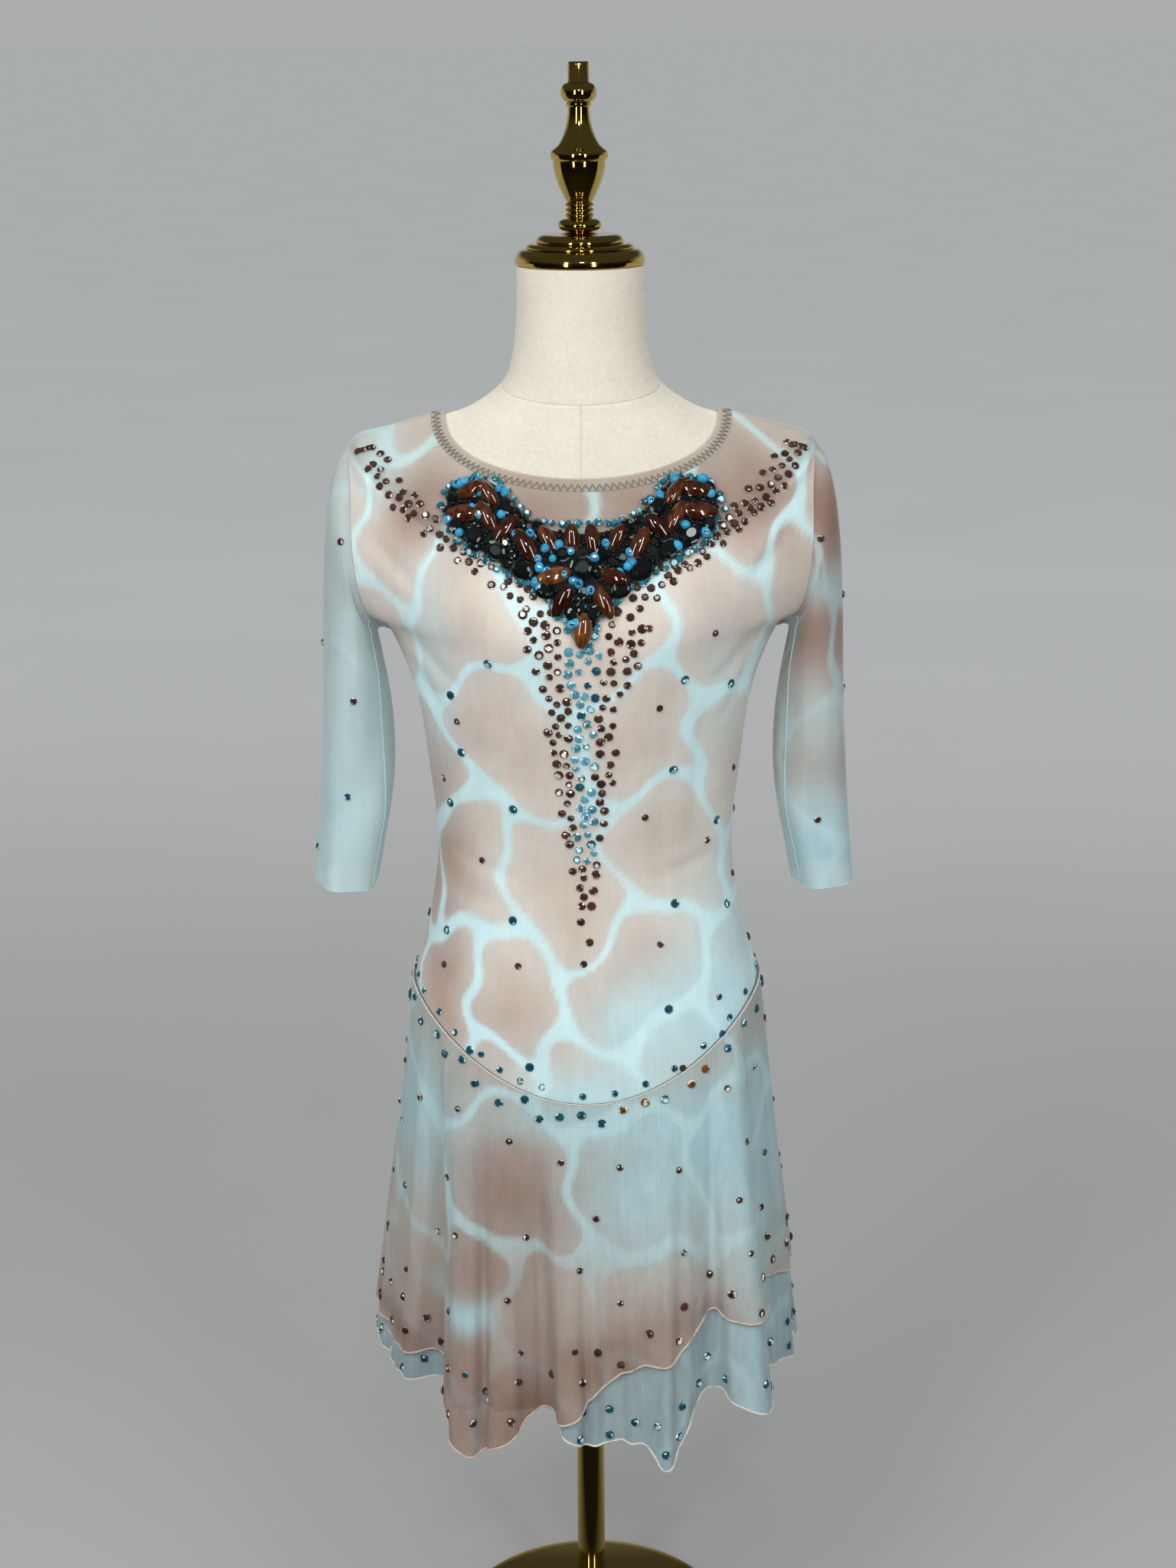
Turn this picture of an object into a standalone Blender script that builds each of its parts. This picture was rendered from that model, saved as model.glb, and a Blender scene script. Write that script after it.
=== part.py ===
"""Figure skating dress on its limbless dress form and brass stand.

Metres, +Z up, front towards -Y, +X to the viewer's right. The origin is the centre of the base's
underside. Cloth pieces are thin walls, lofted through rows whose sizes are in the tables below.
"""
import math
from collections import namedtuple

import bmesh
import bpy
import numpy as np
from mathutils import Vector
from mathutils.bvhtree import BVHTree

SEAM_GAP = 0.0003
SHARP_ANGLE = math.radians(40)
BODICE_WALL = 0.0012
SLEEVE_WALL = 0.0010
SKIRT_WALL = 0.0010
BAND_RAISE = 0.0004
FORM_INSET = BODICE_WALL + 0.0013
SHOULDER_INSET = 0.0055
FRONT_COLUMNS, BACK_COLUMNS = 20, 14
FORM_SIDES = 32
# Over this distance between front and back, the form closes the armhole with a straight run.
ARMHOLE_OPEN = 0.004

# One row is one level curve of the dressed figure, an arc about the middle in front and one behind.
# It ends on the side seam, on the armhole or on the shoulder seam, at x_edge and z_edge. flare is the
# part of x_edge that only the cloth near the armhole has, point is over 1 where the curve comes to a
# point at the middle, and inset is how far the form lies under it.
BodyRow = namedtuple(
    "BodyRow", "x_edge flare z_edge f_edge f_mid_y f_mid_z b_edge b_mid_y b_mid_z point inset")
BODY = [
    BodyRow(0.1470, 0.000, 0.545, 0.000, -0.100, 0.545, 0.000, 0.104, 0.545, 1.0, FORM_INSET),
    BodyRow(0.1510, 0.000, 0.605, 0.000, -0.103, 0.565, 0.000, 0.109, 0.574, 1.7, FORM_INSET),
    BodyRow(0.1475, 0.000, 0.665, 0.000, -0.104, 0.5845, 0.000, 0.110, 0.604, 2.2, FORM_INSET),
    BodyRow(0.1365, 0.000, 0.705, 0.000, -0.098, 0.655, 0.000, 0.103, 0.668, 1.8, FORM_INSET),
    BodyRow(0.1246, 0.000, 0.783, 0.000, -0.081, 0.768, 0.000, 0.074, 0.772, 1.0, FORM_INSET),
    BodyRow(0.1308, 0.000, 0.858, 0.000, -0.093, 0.850, 0.000, 0.083, 0.856, 1.0, FORM_INSET),
    BodyRow(0.1388, 0.000, 0.916, 0.000, -0.108, 0.914, 0.000, 0.096, 0.922, 1.0, FORM_INSET),
    BodyRow(0.1600, 0.016, 0.969, 0.000, -0.115, 0.960, 0.000, 0.105, 0.975, 1.0, SHOULDER_INSET),
    BodyRow(0.1768, 0.022, 0.991, -0.033, -0.115, 0.986, 0.035, 0.107, 1.003, 1.0, SHOULDER_INSET),
    BodyRow(0.1845, 0.017, 1.035, -0.047, -0.110, 1.011, 0.048, 0.106, 1.032, 1.0, SHOULDER_INSET),
    BodyRow(0.1858, 0.008, 1.088, -0.036, -0.103, 1.035, 0.041, 0.100, 1.062, 1.0, SHOULDER_INSET),
    BodyRow(0.1862, 0.000, 1.127, 0.000, -0.094, 1.058, 0.000, 0.090, 1.086, 1.25, SHOULDER_INSET),
    BodyRow(0.1520, 0.000, 1.139, 0.000, -0.083, 1.080, 0.000, 0.077, 1.107, 1.0, FORM_INSET),
    BodyRow(0.1215, 0.000, 1.1475, 0.000, -0.0745, 1.0955, 0.000, 0.068, 1.1205, 1.0, FORM_INSET),
    BodyRow(0.1105, 0.000, 1.1490, 0.000, -0.0700, 1.1050, 0.000, 0.0635, 1.1300, 1.0, FORM_INSET),
    BodyRow(0.0880, 0.000, 1.1545, 0.000, -0.0615, 1.1340, 0.000, 0.0590, 1.1480, 1.0, 0.0),
    BodyRow(0.0645, 0.000, 1.1715, 0.000, -0.0560, 1.1600, 0.000, 0.0560, 1.1690, 1.0, 0.0),
    BodyRow(0.0555, 0.000, 1.1920, 0.000, -0.0525, 1.1880, 0.000, 0.0530, 1.1900, 1.0, 0.0),
    BodyRow(0.0515, 0.000, 1.2250, 0.000, -0.0505, 1.2250, 0.000, 0.0505, 1.2250, 1.0, 0.0),
    BodyRow(0.0507, 0.000, 1.2642, 0.000, -0.0507, 1.2642, 0.000, 0.0507, 1.2642, 1.0, 0.0),
]
FORM_FOOT_ROW, YOKE_ROW, ARMPIT_ROW, TIP_ROW, BAND_ROW, NECK_ROW = 0, 2, 7, 11, 13, 14
NECK_TOP_ROW = len(BODY) - 1
# Levels where the bodice ends below the turned neckline edge, and where that edge begins.
BODICE_TOP, BAND_FOOT = BAND_ROW - 0.014, BAND_ROW + 0.020
# Under 1, so that the figure's front and back are flatter than an ellipse.
ROUNDNESS = 0.88
# An odd power, so that the flare is felt near the armhole only and has the side's sign.
FLARE_BEND = 5
# Below this a point counts as lying on the side seam.
ON_SEAM = 1e-6
# Soft bust shaping: x, z, rise, reach in x, reach in z.
BUST = (0.066, 0.988, 0.011, 0.036, 0.040)

# Sleeve rings from the armhole to the cuff: outer end, inner end, and half the depth in Y.
SleeveRing = namedtuple("SleeveRing", "x_out z_out x_in z_in half_depth y_mid")
SLEEVE = [
    SleeveRing(0.1940, 1.1190, 0.1668, 0.9735, 0.0515, 0.0000),
    SleeveRing(0.2020, 1.1005, 0.1708, 0.9680, 0.0510, 0.0000),
    SleeveRing(0.2072, 1.0780, 0.1704, 0.9560, 0.0495, 0.0000),
    SleeveRing(0.2110, 1.0440, 0.1672, 0.9430, 0.0470, -0.0005),
    SleeveRing(0.2135, 1.0040, 0.1638, 0.9260, 0.0450, -0.0010),
    SleeveRing(0.2160, 0.9550, 0.1612, 0.9030, 0.0430, -0.0020),
    SleeveRing(0.2185, 0.9050, 0.1602, 0.8750, 0.0415, -0.0030),
    SleeveRing(0.2205, 0.8600, 0.1606, 0.8450, 0.0400, -0.0040),
    SleeveRing(0.2225, 0.8200, 0.1638, 0.8140, 0.0390, -0.0050),
    SleeveRing(0.2255, 0.7860, 0.1702, 0.7830, 0.0382, -0.0060),
    SleeveRing(0.2285, 0.7545, 0.1768, 0.7515, 0.0376, -0.0070),
]
SLEEVE_SIDES = 16
SLEEVE_RINGS = 17
# Over 1, so that the rings stand closer together at the sleeve's head.
SLEEVE_SPREAD = 1.15
# A place this far outside the armhole tells which way the sleeve leaves it.
OUTSIDE = 0.065
# Share of the sleeve's length over which its rings turn from the armhole's shape into ovals: at the
# top and the bottom, and what the front and the back need more.
HEAD_EASE, HEAD_EASE_ASIDE = 0.03, 0.24
# The soft crease that runs from the armpit down the inner front: shares of the sleeve's length, depth,
# and its place and reach round the sleeve in degrees.
CREASE_TOP, CREASE_END, CREASE_DEPTH, CREASE_TURN, CREASE_REACH = 0.16, 0.80, 0.0050, 128.0, 26.0

# Hem folds of the skirt's front, from the left side seam to the right one. turn is the place on the
# yoke seam in degrees from the front centre, x and y are the fold's place at REFERENCE_Z.
HemFold = namedtuple("HemFold", "turn x y over_z under_z")
REFERENCE_Z = 0.300
FRONT_FOLDS = [
    HemFold(-90, -0.1850, 0.000, 0.336, 0.303),
    HemFold(-79, -0.1830, -0.034, 0.332, 0.303),
    HemFold(-69, -0.1640, -0.066, 0.334, 0.307),
    HemFold(-62, -0.1320, -0.078, 0.341, 0.314),
    HemFold(-57, -0.1130, -0.100, 0.332, 0.320),
    HemFold(-53, -0.1235, -0.131, 0.318, 0.324),
    HemFold(-48, -0.1215, -0.156, 0.300, 0.327),
    HemFold(-42, -0.1040, -0.168, 0.291, 0.328),
    HemFold(-36, -0.0880, -0.155, 0.293, 0.329),
    HemFold(-30, -0.0710, -0.162, 0.301, 0.328),
    HemFold(-24, -0.0560, -0.157, 0.314, 0.324),
    HemFold(-18, -0.0400, -0.146, 0.321, 0.318),
    HemFold(-11, -0.0230, -0.171, 0.319, 0.307),
    HemFold(-2, -0.0020, -0.160, 0.335, 0.296),
    HemFold(8, 0.0210, -0.163, 0.353, 0.298),
    HemFold(19, 0.0460, -0.166, 0.366, 0.296),
    HemFold(28, 0.0660, -0.172, 0.369, 0.283),
    HemFold(37, 0.0870, -0.157, 0.388, 0.316),
    HemFold(44, 0.1050, -0.141, 0.401, 0.330),
    HemFold(50, 0.1260, -0.158, 0.397, 0.326),
    HemFold(55, 0.1490, -0.152, 0.393, 0.317),
    HemFold(59, 0.1545, -0.126, 0.395, 0.316),
    HemFold(63, 0.1390, -0.099, 0.398, 0.318),
    HemFold(68, 0.1440, -0.077, 0.398, 0.314),
    HemFold(75, 0.1660, -0.055, 0.395, 0.308),
    HemFold(82, 0.1795, -0.029, 0.388, 0.303),
    HemFold(90, 0.1835, 0.000, 0.380, 0.302),
]
BACK_WAVES = 6
BACK_WAVE_RISE = 0.105
BACK_HEM_DEPTH = 0.151
BACK_HEM_DIP = 0.012
SKIRT_ROWS = 7
# Degrees by which the skirt's front and back stop short of the side seam.
SIDE_TRIM = 0.055
# How far each layer's outer face lies from the bodice's at the yoke seam, and the layers' gap at the hem.
OVER_OFFSET = 0.0026
UNDER_OFFSET = 0.0013
HEM_LAYER_GAP = 0.0042

# Beaded neck applique, the right half: the inner and outer edge points of each station.
Station = namedtuple("Station", "inner_x inner_z outer_x outer_z")
APPLIQUE = [
    Station(0.000, 1.0700, 0.000, 0.9800),
    Station(0.016, 1.0700, 0.015, 1.0020),
    Station(0.030, 1.0725, 0.032, 1.0220),
    Station(0.043, 1.0790, 0.054, 1.0350),
    Station(0.054, 1.0890, 0.079, 1.0480),
    Station(0.062, 1.0985, 0.100, 1.0640),
    Station(0.071, 1.1025, 0.109, 1.0840),
    Station(0.084, 1.1040, 0.103, 1.0990),
]
APPLIQUE_LIFT = 0.0006
APPLIQUE_BACKING = 0.0012
APPLIQUE_COLUMNS = 22
APPLIQUE_ROWS = 9
# The beads reach their full height this far in from the rim, as a share of the applique's width.
BEAD_RIM = 0.04
# Long oval beads of the right half: centre, turn of the long axis from X, length, width and height.
Bead = namedtuple("Bead", "x z turn length width height")
BEADS = [
    Bead(0.000, 0.9930, 90, 0.026, 0.012, 0.0070),
    Bead(0.016, 1.0150, 125, 0.028, 0.011, 0.0070),
    Bead(0.022, 1.0340, 170, 0.028, 0.011, 0.0065),
    Bead(0.008, 1.0600, 100, 0.024, 0.010, 0.0060),
    Bead(0.026, 1.0600, 60, 0.024, 0.010, 0.0060),
    Bead(0.044, 1.0560, 60, 0.028, 0.011, 0.0065),
    Bead(0.060, 1.0680, 140, 0.026, 0.010, 0.0060),
    Bead(0.074, 1.0760, 60, 0.026, 0.010, 0.0060),
    Bead(0.092, 1.0780, 170, 0.028, 0.012, 0.0070),
    Bead(0.088, 1.0940, 160, 0.026, 0.011, 0.0070),
    Bead(0.073, 1.0930, 60, 0.024, 0.010, 0.0060),
]

# Stand and finial: radius and height of each turned step.
BASE_RADIUS = 0.129
BASE_RIM = 0.007
BASE_DOME = 0.016
DOME_STEPS = 3
FLANGE_RADIUS = 0.024
FLANGE_TOP = 0.028
FLANGE_ROUND = 0.003
POLE_RADIUS = 0.0127
CAP_FOOT = BODY[NECK_TOP_ROW].z_edge + SEAM_GAP
CAP_STEPS = [(0.0520, 0.0125), (0.0430, 0.0042), (0.0349, 0.0070)]
FINIAL_FOOT = CAP_FOOT + sum(step[1] for step in CAP_STEPS) + SEAM_GAP
STEP_SOFTNESS = 0.0012
TURNED_SIDES, CAP_SIDES, BASE_SIDES = 16, 24, 40
# Finial, bottom to top, with heights above its foot. A Bulb swells from its waist to its radius and
# back, a Sweep runs from one radius to another, and the plain pairs are a radius and a height.
Bulb = namedtuple("Bulb", "radius waist middle half steps")
Sweep = namedtuple("Sweep", "low_radius top_radius low top bend steps")
FINIAL = [
    (0.0150, 0.0000), (0.0105, 0.0012),
    Bulb(0.0174, 0.0100, 0.0068, 0.0050, 4),
    Bulb(0.0114, 0.0095, 0.0142, 0.0017, 2),
    Bulb(0.0114, 0.0095, 0.0182, 0.0017, 2),
    Bulb(0.0114, 0.0095, 0.0222, 0.0017, 2),
    Sweep(0.0113, 0.0208, 0.0262, 0.0562, 1.0, 5),
    (0.0226, 0.0580), (0.0226, 0.0632),
    Sweep(0.0200, 0.0085, 0.0650, 0.0970, 0.62, 5),
    (0.0100, 0.0977), (0.0100, 0.0997),
    Bulb(0.0142, 0.0090, 0.1077, 0.0072, 5),
    (0.0084, 0.1157), (0.0084, 0.1297), (0.0074, 0.1309),
]


def clear_scene():
    for thing in list(bpy.data.objects):
        bpy.data.objects.remove(thing, do_unlink=True)


def material(name, colour, roughness, metallic=0.0):
    """A Principled material; colour is linear red, green and blue."""
    made = bpy.data.materials.new(name)
    made.use_nodes = True
    shader = made.node_tree.nodes["Principled BSDF"]
    shader.inputs["Base Color"].default_value = (*colour, 1.0)
    shader.inputs["Roughness"].default_value = roughness
    shader.inputs["Metallic"].default_value = metallic
    return made


def smooth_row(rows, at):
    """The table's values at a place between its rows, on a smooth curve through them."""
    last = len(rows) - 1
    here = min(int(at), last - 1)
    share = at - here
    a, b, c, d = (np.array(rows[min(max(here + step, 0), last)], float) for step in (-1, 0, 1, 2))
    if here == 0:
        a = 2 * b - c
    if here == last - 1:
        d = 2 * c - b
    return 0.5 * (2 * b + (c - a) * share + (2 * a - 5 * b + 4 * c - d) * share ** 2
                  + (3 * b - a - 3 * c + d) * share ** 3)


def body_point(level, across, side):
    """A point of the dressed figure. across runs from -1 to 1, and side is -1 in front, 1 behind."""
    row = BodyRow(*smooth_row(BODY, level))
    edge, mid_y, mid_z = (min(row.f_edge, 0.0), row.f_mid_y, row.f_mid_z)
    if side > 0:
        edge, mid_y, mid_z = (max(row.b_edge, 0.0), row.b_mid_y, row.b_mid_z)
    closing = max(edge / mid_y, 0.0) ** (1 / ROUNDNESS)
    arc = math.acos(min(closing, 1.0))
    turn = arc * across
    swell = max(math.cos(turn), 0.0) ** ROUNDNESS
    edge_share = closing ** ROUNDNESS
    share = max((swell - edge_share) / (1 - edge_share), 0.0)
    x = (row.x_edge - row.flare) * math.sin(turn) / math.sin(arc) + row.flare * across ** FLARE_BEND
    y = edge + (mid_y - edge) * share
    z = row.z_edge + (mid_z - row.z_edge) * share ** row.point
    if side < 0:
        bust_x, bust_z, rise, reach_x, reach_z = BUST
        off_x, off_z = (abs(x) - bust_x) / reach_x, (z - bust_z) / reach_z
        y -= share * rise * math.exp(-off_x ** 2 - off_z ** 2)
    return np.array((x, y, z))


def grid_normals(grid, wrap=False):
    """Unit normals of a grid of points, from its neighbours along and across."""
    along = np.gradient(grid, axis=0)
    if wrap:
        across = np.roll(grid, -1, axis=1) - np.roll(grid, 1, axis=1)
    else:
        across = np.gradient(grid, axis=1)
    normal = np.cross(across, along)
    size = np.linalg.norm(normal, axis=2, keepdims=True)
    return normal / np.maximum(size, 1e-9)


def facing(normals, grid, centre=(0.0, 0.0)):
    """The normals, turned as one so that they point away from an upright axis."""
    away = grid[:, :, :2] - np.array(centre)
    return normals if (normals[:, :, :2] * away).sum() > 0 else -normals


def wall(name, outer, inner, made_of, wrap=False):
    """One closed body between two grids of points of the same shape."""
    rows, columns = outer.shape[:2]
    mesh = bpy.data.meshes.new(name)
    shell = bmesh.new()
    out, into = ([[shell.verts.new(p) for p in row] for row in grid] for grid in (outer, inner))
    last = columns if wrap else columns - 1
    for i in range(rows - 1):
        for j in range(last):
            k = (j + 1) % columns
            shell.faces.new((out[i][j], out[i][k], out[i + 1][k], out[i + 1][j]))
            shell.faces.new((into[i][j], into[i + 1][j], into[i + 1][k], into[i][k]))
    for i, flip in ((0, 1), (rows - 1, -1)):
        for j in range(last):
            k = (j + 1) % columns
            shell.faces.new((out[i][j], into[i][j], into[i][k], out[i][k])[::flip])
    if not wrap:
        for j, flip in ((0, -1), (columns - 1, 1)):
            for i in range(rows - 1):
                shell.faces.new((out[i][j], into[i][j], into[i + 1][j], out[i + 1][j])[::flip])
    bmesh.ops.recalc_face_normals(shell, faces=shell.faces)
    return finish(name, shell, mesh, made_of)


def finish(name, shell, mesh, made_of):
    shell.to_mesh(mesh)
    shell.free()
    thing = bpy.data.objects.new(name, mesh)
    bpy.context.collection.objects.link(thing)
    mesh.materials.append(made_of)
    mesh.shade_smooth()
    mesh.set_sharp_from_angle(angle=SHARP_ANGLE)
    return thing


def turned(name, profile, made_of, sides=TURNED_SIDES):
    """A closed solid of revolution from (radius, height) pairs, bottom to top."""
    shell = bmesh.new()
    rings = []
    for radius, height in profile:
        turns = [2 * math.pi * k / sides for k in range(sides)]
        rings.append([shell.verts.new((radius * math.cos(t), radius * math.sin(t), height)) for t in turns])
    for low, high in zip(rings, rings[1:]):
        for j in range(sides):
            k = (j + 1) % sides
            shell.faces.new((low[j], low[k], high[k], high[j]))
    shell.faces.new(rings[0][::-1])
    shell.faces.new(rings[-1])
    bmesh.ops.recalc_face_normals(shell, faces=shell.faces)
    return finish(name, shell, bpy.data.meshes.new(name), made_of)


def panel_grid(side, levels, columns):
    """Outer points of the bodice's front or back; its edges stop half a seam gap short."""
    grid = np.array([[body_point(v, u, side) for u in np.linspace(-1, 1, columns + 1)] for v in levels])
    normals = grid_normals(grid)
    for j in (0, -1):
        closed = np.abs(grid[:, j, 1]) < ON_SEAM
        normals[closed, j, 1] = 0.0
        normals[:, j] /= np.linalg.norm(normals[:, j], axis=1, keepdims=True)
        grid[closed, j, 1] += side * SEAM_GAP / 2
    return grid, facing(normals, grid)


def bodice_levels():
    """Levels of the bodice's rows, with every table row among them, below the neck band."""
    below = list(np.linspace(YOKE_ROW, ARMPIT_ROW, 11)[:-1])
    armhole = list(armhole_levels()[:-1])
    above = list(np.linspace(TIP_ROW, BODICE_TOP, 4))
    return below + armhole + above


def armhole_levels():
    return np.linspace(ARMPIT_ROW, TIP_ROW, SLEEVE_SIDES // 2 + 1)


def bodice(side, name, columns, made_of):
    grid, normals = panel_grid(side, bodice_levels(), columns)
    wall(name, grid, grid - BODICE_WALL * normals, made_of)
    return grid, normals


def neck_band(made_of):
    """The turned neckline edge, one ring round the front and the back."""
    across = np.linspace(-1, 1, FRONT_COLUMNS + 1)
    back = np.linspace(1, -1, BACK_COLUMNS + 1)[1:-1]
    rows = []
    for level in (BAND_FOOT, NECK_ROW):
        rows.append([body_point(level, u, -1) for u in across] + [body_point(level, u, 1) for u in back])
    grid = np.array(rows)
    normals = facing(grid_normals(grid, wrap=True), grid)
    wall("neck_band", grid + BAND_RAISE * normals, grid - BODICE_WALL * normals, made_of, wrap=True)


def armhole_ring(panels):
    """Outer and inner points of the right armhole, from the shoulder tip down the front and up the back."""
    levels = bodice_levels()
    start = levels.index(ARMPIT_ROW)
    stop = levels.index(TIP_ROW)
    outer, inner = [], []
    for side, order in ((-1, range(stop, start, -1)), (1, range(start, stop))):
        grid, normals = panels[side]
        for i in order:
            outer.append(grid[i, -1])
            inner.append(grid[i, -1] - BODICE_WALL * normals[i, -1])
    outer, inner = np.array(outer), np.array(inner)
    for i in (0, SLEEVE_SIDES // 2):
        outer[i, 1] = inner[i, 1] = 0.0
    return outer, inner


def sleeve_axis(share):
    """Centre of the sleeve's oval at a share of its length, half its long way and half its depth."""
    ring = SleeveRing(*smooth_row(SLEEVE, share * (len(SLEEVE) - 1)))
    top = np.array((ring.x_out, ring.y_mid, ring.z_out))
    low = np.array((ring.x_in, ring.y_mid, ring.z_in))
    return (top + low) / 2, (top - low) / 2, np.array((0.0, ring.half_depth, 0.0))


def sleeve_ring(share, armhole):
    """One ring of the sleeve, in the armhole's order, with its crease."""
    centre, reach, depth = sleeve_axis(share)
    drift = centre - sleeve_axis(0.0)[0]
    points = []
    for j, start in enumerate(armhole):
        turn = 360 * j / SLEEVE_SIDES
        aside = math.sin(math.radians(turn))
        spoke = reach * math.cos(math.radians(turn)) - depth * aside
        dent = CREASE_DEPTH * math.exp(-((turn - CREASE_TURN) / CREASE_REACH) ** 2)
        dent *= math.sin(math.pi * min(max((share - CREASE_TOP) / (CREASE_END - CREASE_TOP), 0), 1))
        oval = centre + spoke * (1 - dent / np.linalg.norm(spoke))
        eased = min(share / (HEAD_EASE + HEAD_EASE_ASIDE * abs(aside)), 1.0)
        eased = eased * eased * (3 - 2 * eased)
        points.append(start + drift + (oval - start - drift) * eased)
    return points


def sleeve(name, hand, panels, made_of):
    """A sleeve tube: hand is 1 on the viewer's right and -1 on the left."""
    start_outer, start_inner = armhole_ring(panels)
    shares = np.linspace(0, 1, SLEEVE_RINGS + 1)[1:] ** SLEEVE_SPREAD
    rings = np.array([sleeve_ring(share, start_outer) for share in shares])
    leave = np.cross(np.roll(start_outer, -1, axis=0) - np.roll(start_outer, 1, axis=0),
                     start_outer - start_inner)
    outside = start_outer.mean(axis=0) + np.array((OUTSIDE, 0.0, 0.0))
    leave *= np.sign((leave * (outside - start_outer)).sum(axis=1, keepdims=True))
    leave *= SEAM_GAP / np.linalg.norm(leave, axis=1, keepdims=True)
    grid = np.concatenate(([start_outer + leave], rings))
    normals = grid_normals(grid, wrap=True)
    centres = grid.mean(axis=1, keepdims=True)
    if (normals * (grid - centres)).sum() < 0:
        normals = -normals
    inside = grid - SLEEVE_WALL * normals
    inside[0] = start_inner + leave
    armpit = SLEEVE_SIDES // 2
    inside[0, armpit] = grid[0, armpit] + np.array((0.0, 0.0, SLEEVE_WALL))
    flip = np.array((hand, 1, 1))
    wall(name, grid * flip, inside * flip, made_of, wrap=True)


def seam_point(turn):
    """The yoke seam's point at a turn in degrees from the front centre, up to 360."""
    if abs(turn) <= 90:
        return body_point(YOKE_ROW, turn / 90, -1)
    return body_point(YOKE_ROW, (180 - turn) / 90, 1)


def back_fold(turn):
    """Hem values behind: an even wave on a half oval, whose heights run from side to side."""
    right, left = FRONT_FOLDS[-1], FRONT_FOLDS[0]
    share = (turn - 90) / 180
    beta = math.pi * share
    wave = 1 + BACK_WAVE_RISE * (1 - math.cos(2 * math.pi * BACK_WAVES * share)) / 2
    width = right.x + (-left.x - right.x) * share
    dip = BACK_HEM_DIP * math.sin(beta)
    over_z = right.over_z + (left.over_z - right.over_z) * (1 - math.cos(beta)) / 2 - dip
    under_z = right.under_z + (left.under_z - right.under_z) * share - dip
    return HemFold(turn, width * math.cos(beta) * wave, BACK_HEM_DEPTH * math.sin(beta) * wave,
                   over_z, under_z)


def skirt_columns(side):
    """Hem values at each column of the skirt's front or back."""
    if side > 0:
        turns = np.linspace(90 + SIDE_TRIM, 270 - SIDE_TRIM, 4 * BACK_WAVES + 1)
        return [back_fold(turn) for turn in turns]
    last = len(FRONT_FOLDS) - 1
    places = np.linspace(0, last, 2 * last + 1)
    places[0] += SIDE_TRIM / (FRONT_FOLDS[1].turn - FRONT_FOLDS[0].turn)
    places[-1] -= SIDE_TRIM / (FRONT_FOLDS[-1].turn - FRONT_FOLDS[-2].turn)
    return [HemFold(*smooth_row(FRONT_FOLDS, place)) for place in places]


def skirt_surface(side):
    """Guide points of the skirt's front or back, from the seam down past the lowest hem."""
    rows = []
    for share in np.linspace(0, 1, SKIRT_ROWS + 1):
        row = []
        for fold in skirt_columns(side):
            top = seam_point(fold.turn)
            foot = np.array((fold.x, fold.y, REFERENCE_Z))
            row.append(top + (foot - top) * share)
        rows.append(row)
    return np.array(rows)


def skirt(name, side, layer, made_of):
    """One layer of the skirt: layer is 'over' or 'under'."""
    guide = skirt_surface(side)
    normals = grid_normals(guide)
    for j in (0, -1):
        normals[:, j, 1] = 0.0
    normals[:, :, 2] = 0.0
    normals /= np.linalg.norm(normals, axis=2, keepdims=True)
    normals = facing(normals, guide)
    columns = skirt_columns(side)
    start = OVER_OFFSET if layer == "over" else UNDER_OFFSET
    outer, inner = [], []
    for i, share in enumerate(np.linspace(0, 1, SKIRT_ROWS + 1)):
        outer_row, inner_row = [], []
        for j, fold in enumerate(columns):
            hem_z = fold.over_z if layer == "over" else fold.under_z
            top, foot = guide[0, j], guide[-1, j]
            reach = (top[2] - hem_z) / (top[2] - REFERENCE_Z)
            point = top + (foot - top) * share * reach
            place = min(share * reach, 1.0) * SKIRT_ROWS
            low = min(int(place), SKIRT_ROWS - 1)
            normal = normals[low, j] + (normals[low + 1, j] - normals[low, j]) * (place - low)
            normal /= np.linalg.norm(normal)
            if layer == "over":
                offset = start
            else:
                offset = start - (HEM_LAYER_GAP - start) * share * reach
            point = point + offset * normal - np.array((0, 0, SEAM_GAP))
            outer_row.append(point)
            inner_row.append(point - SKIRT_WALL * normal)
        outer.append(outer_row)
        inner.append(inner_row)
    wall(name, np.array(outer), np.array(inner), made_of)


def form_ring(level):
    """Points of the form at one level, one at each even turn about the axis."""
    spread = np.linspace(-1, 1, 61)
    front = [body_point(level, u, -1) for u in spread]
    behind = [body_point(level, u, 1) for u in spread[::-1]]
    loop = []
    for start, end in ((front, behind), (behind, front)):
        loop += start
        if abs(start[-1][1] - end[0][1]) > ARMHOLE_OPEN:
            loop += [start[-1] + (end[0] - start[-1]) * share for share in np.linspace(0, 1, 13)[1:-1]]
    loop = np.array(loop)
    angle = np.unwrap(np.arctan2(loop[:, 1], loop[:, 0]))
    turns = angle[0] + 2 * math.pi * np.arange(FORM_SIDES) / FORM_SIDES
    order = np.argsort(angle, kind="stable")
    return np.array([[np.interp(t, angle[order], loop[order, axis]) for axis in range(3)] for t in turns])


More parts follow.
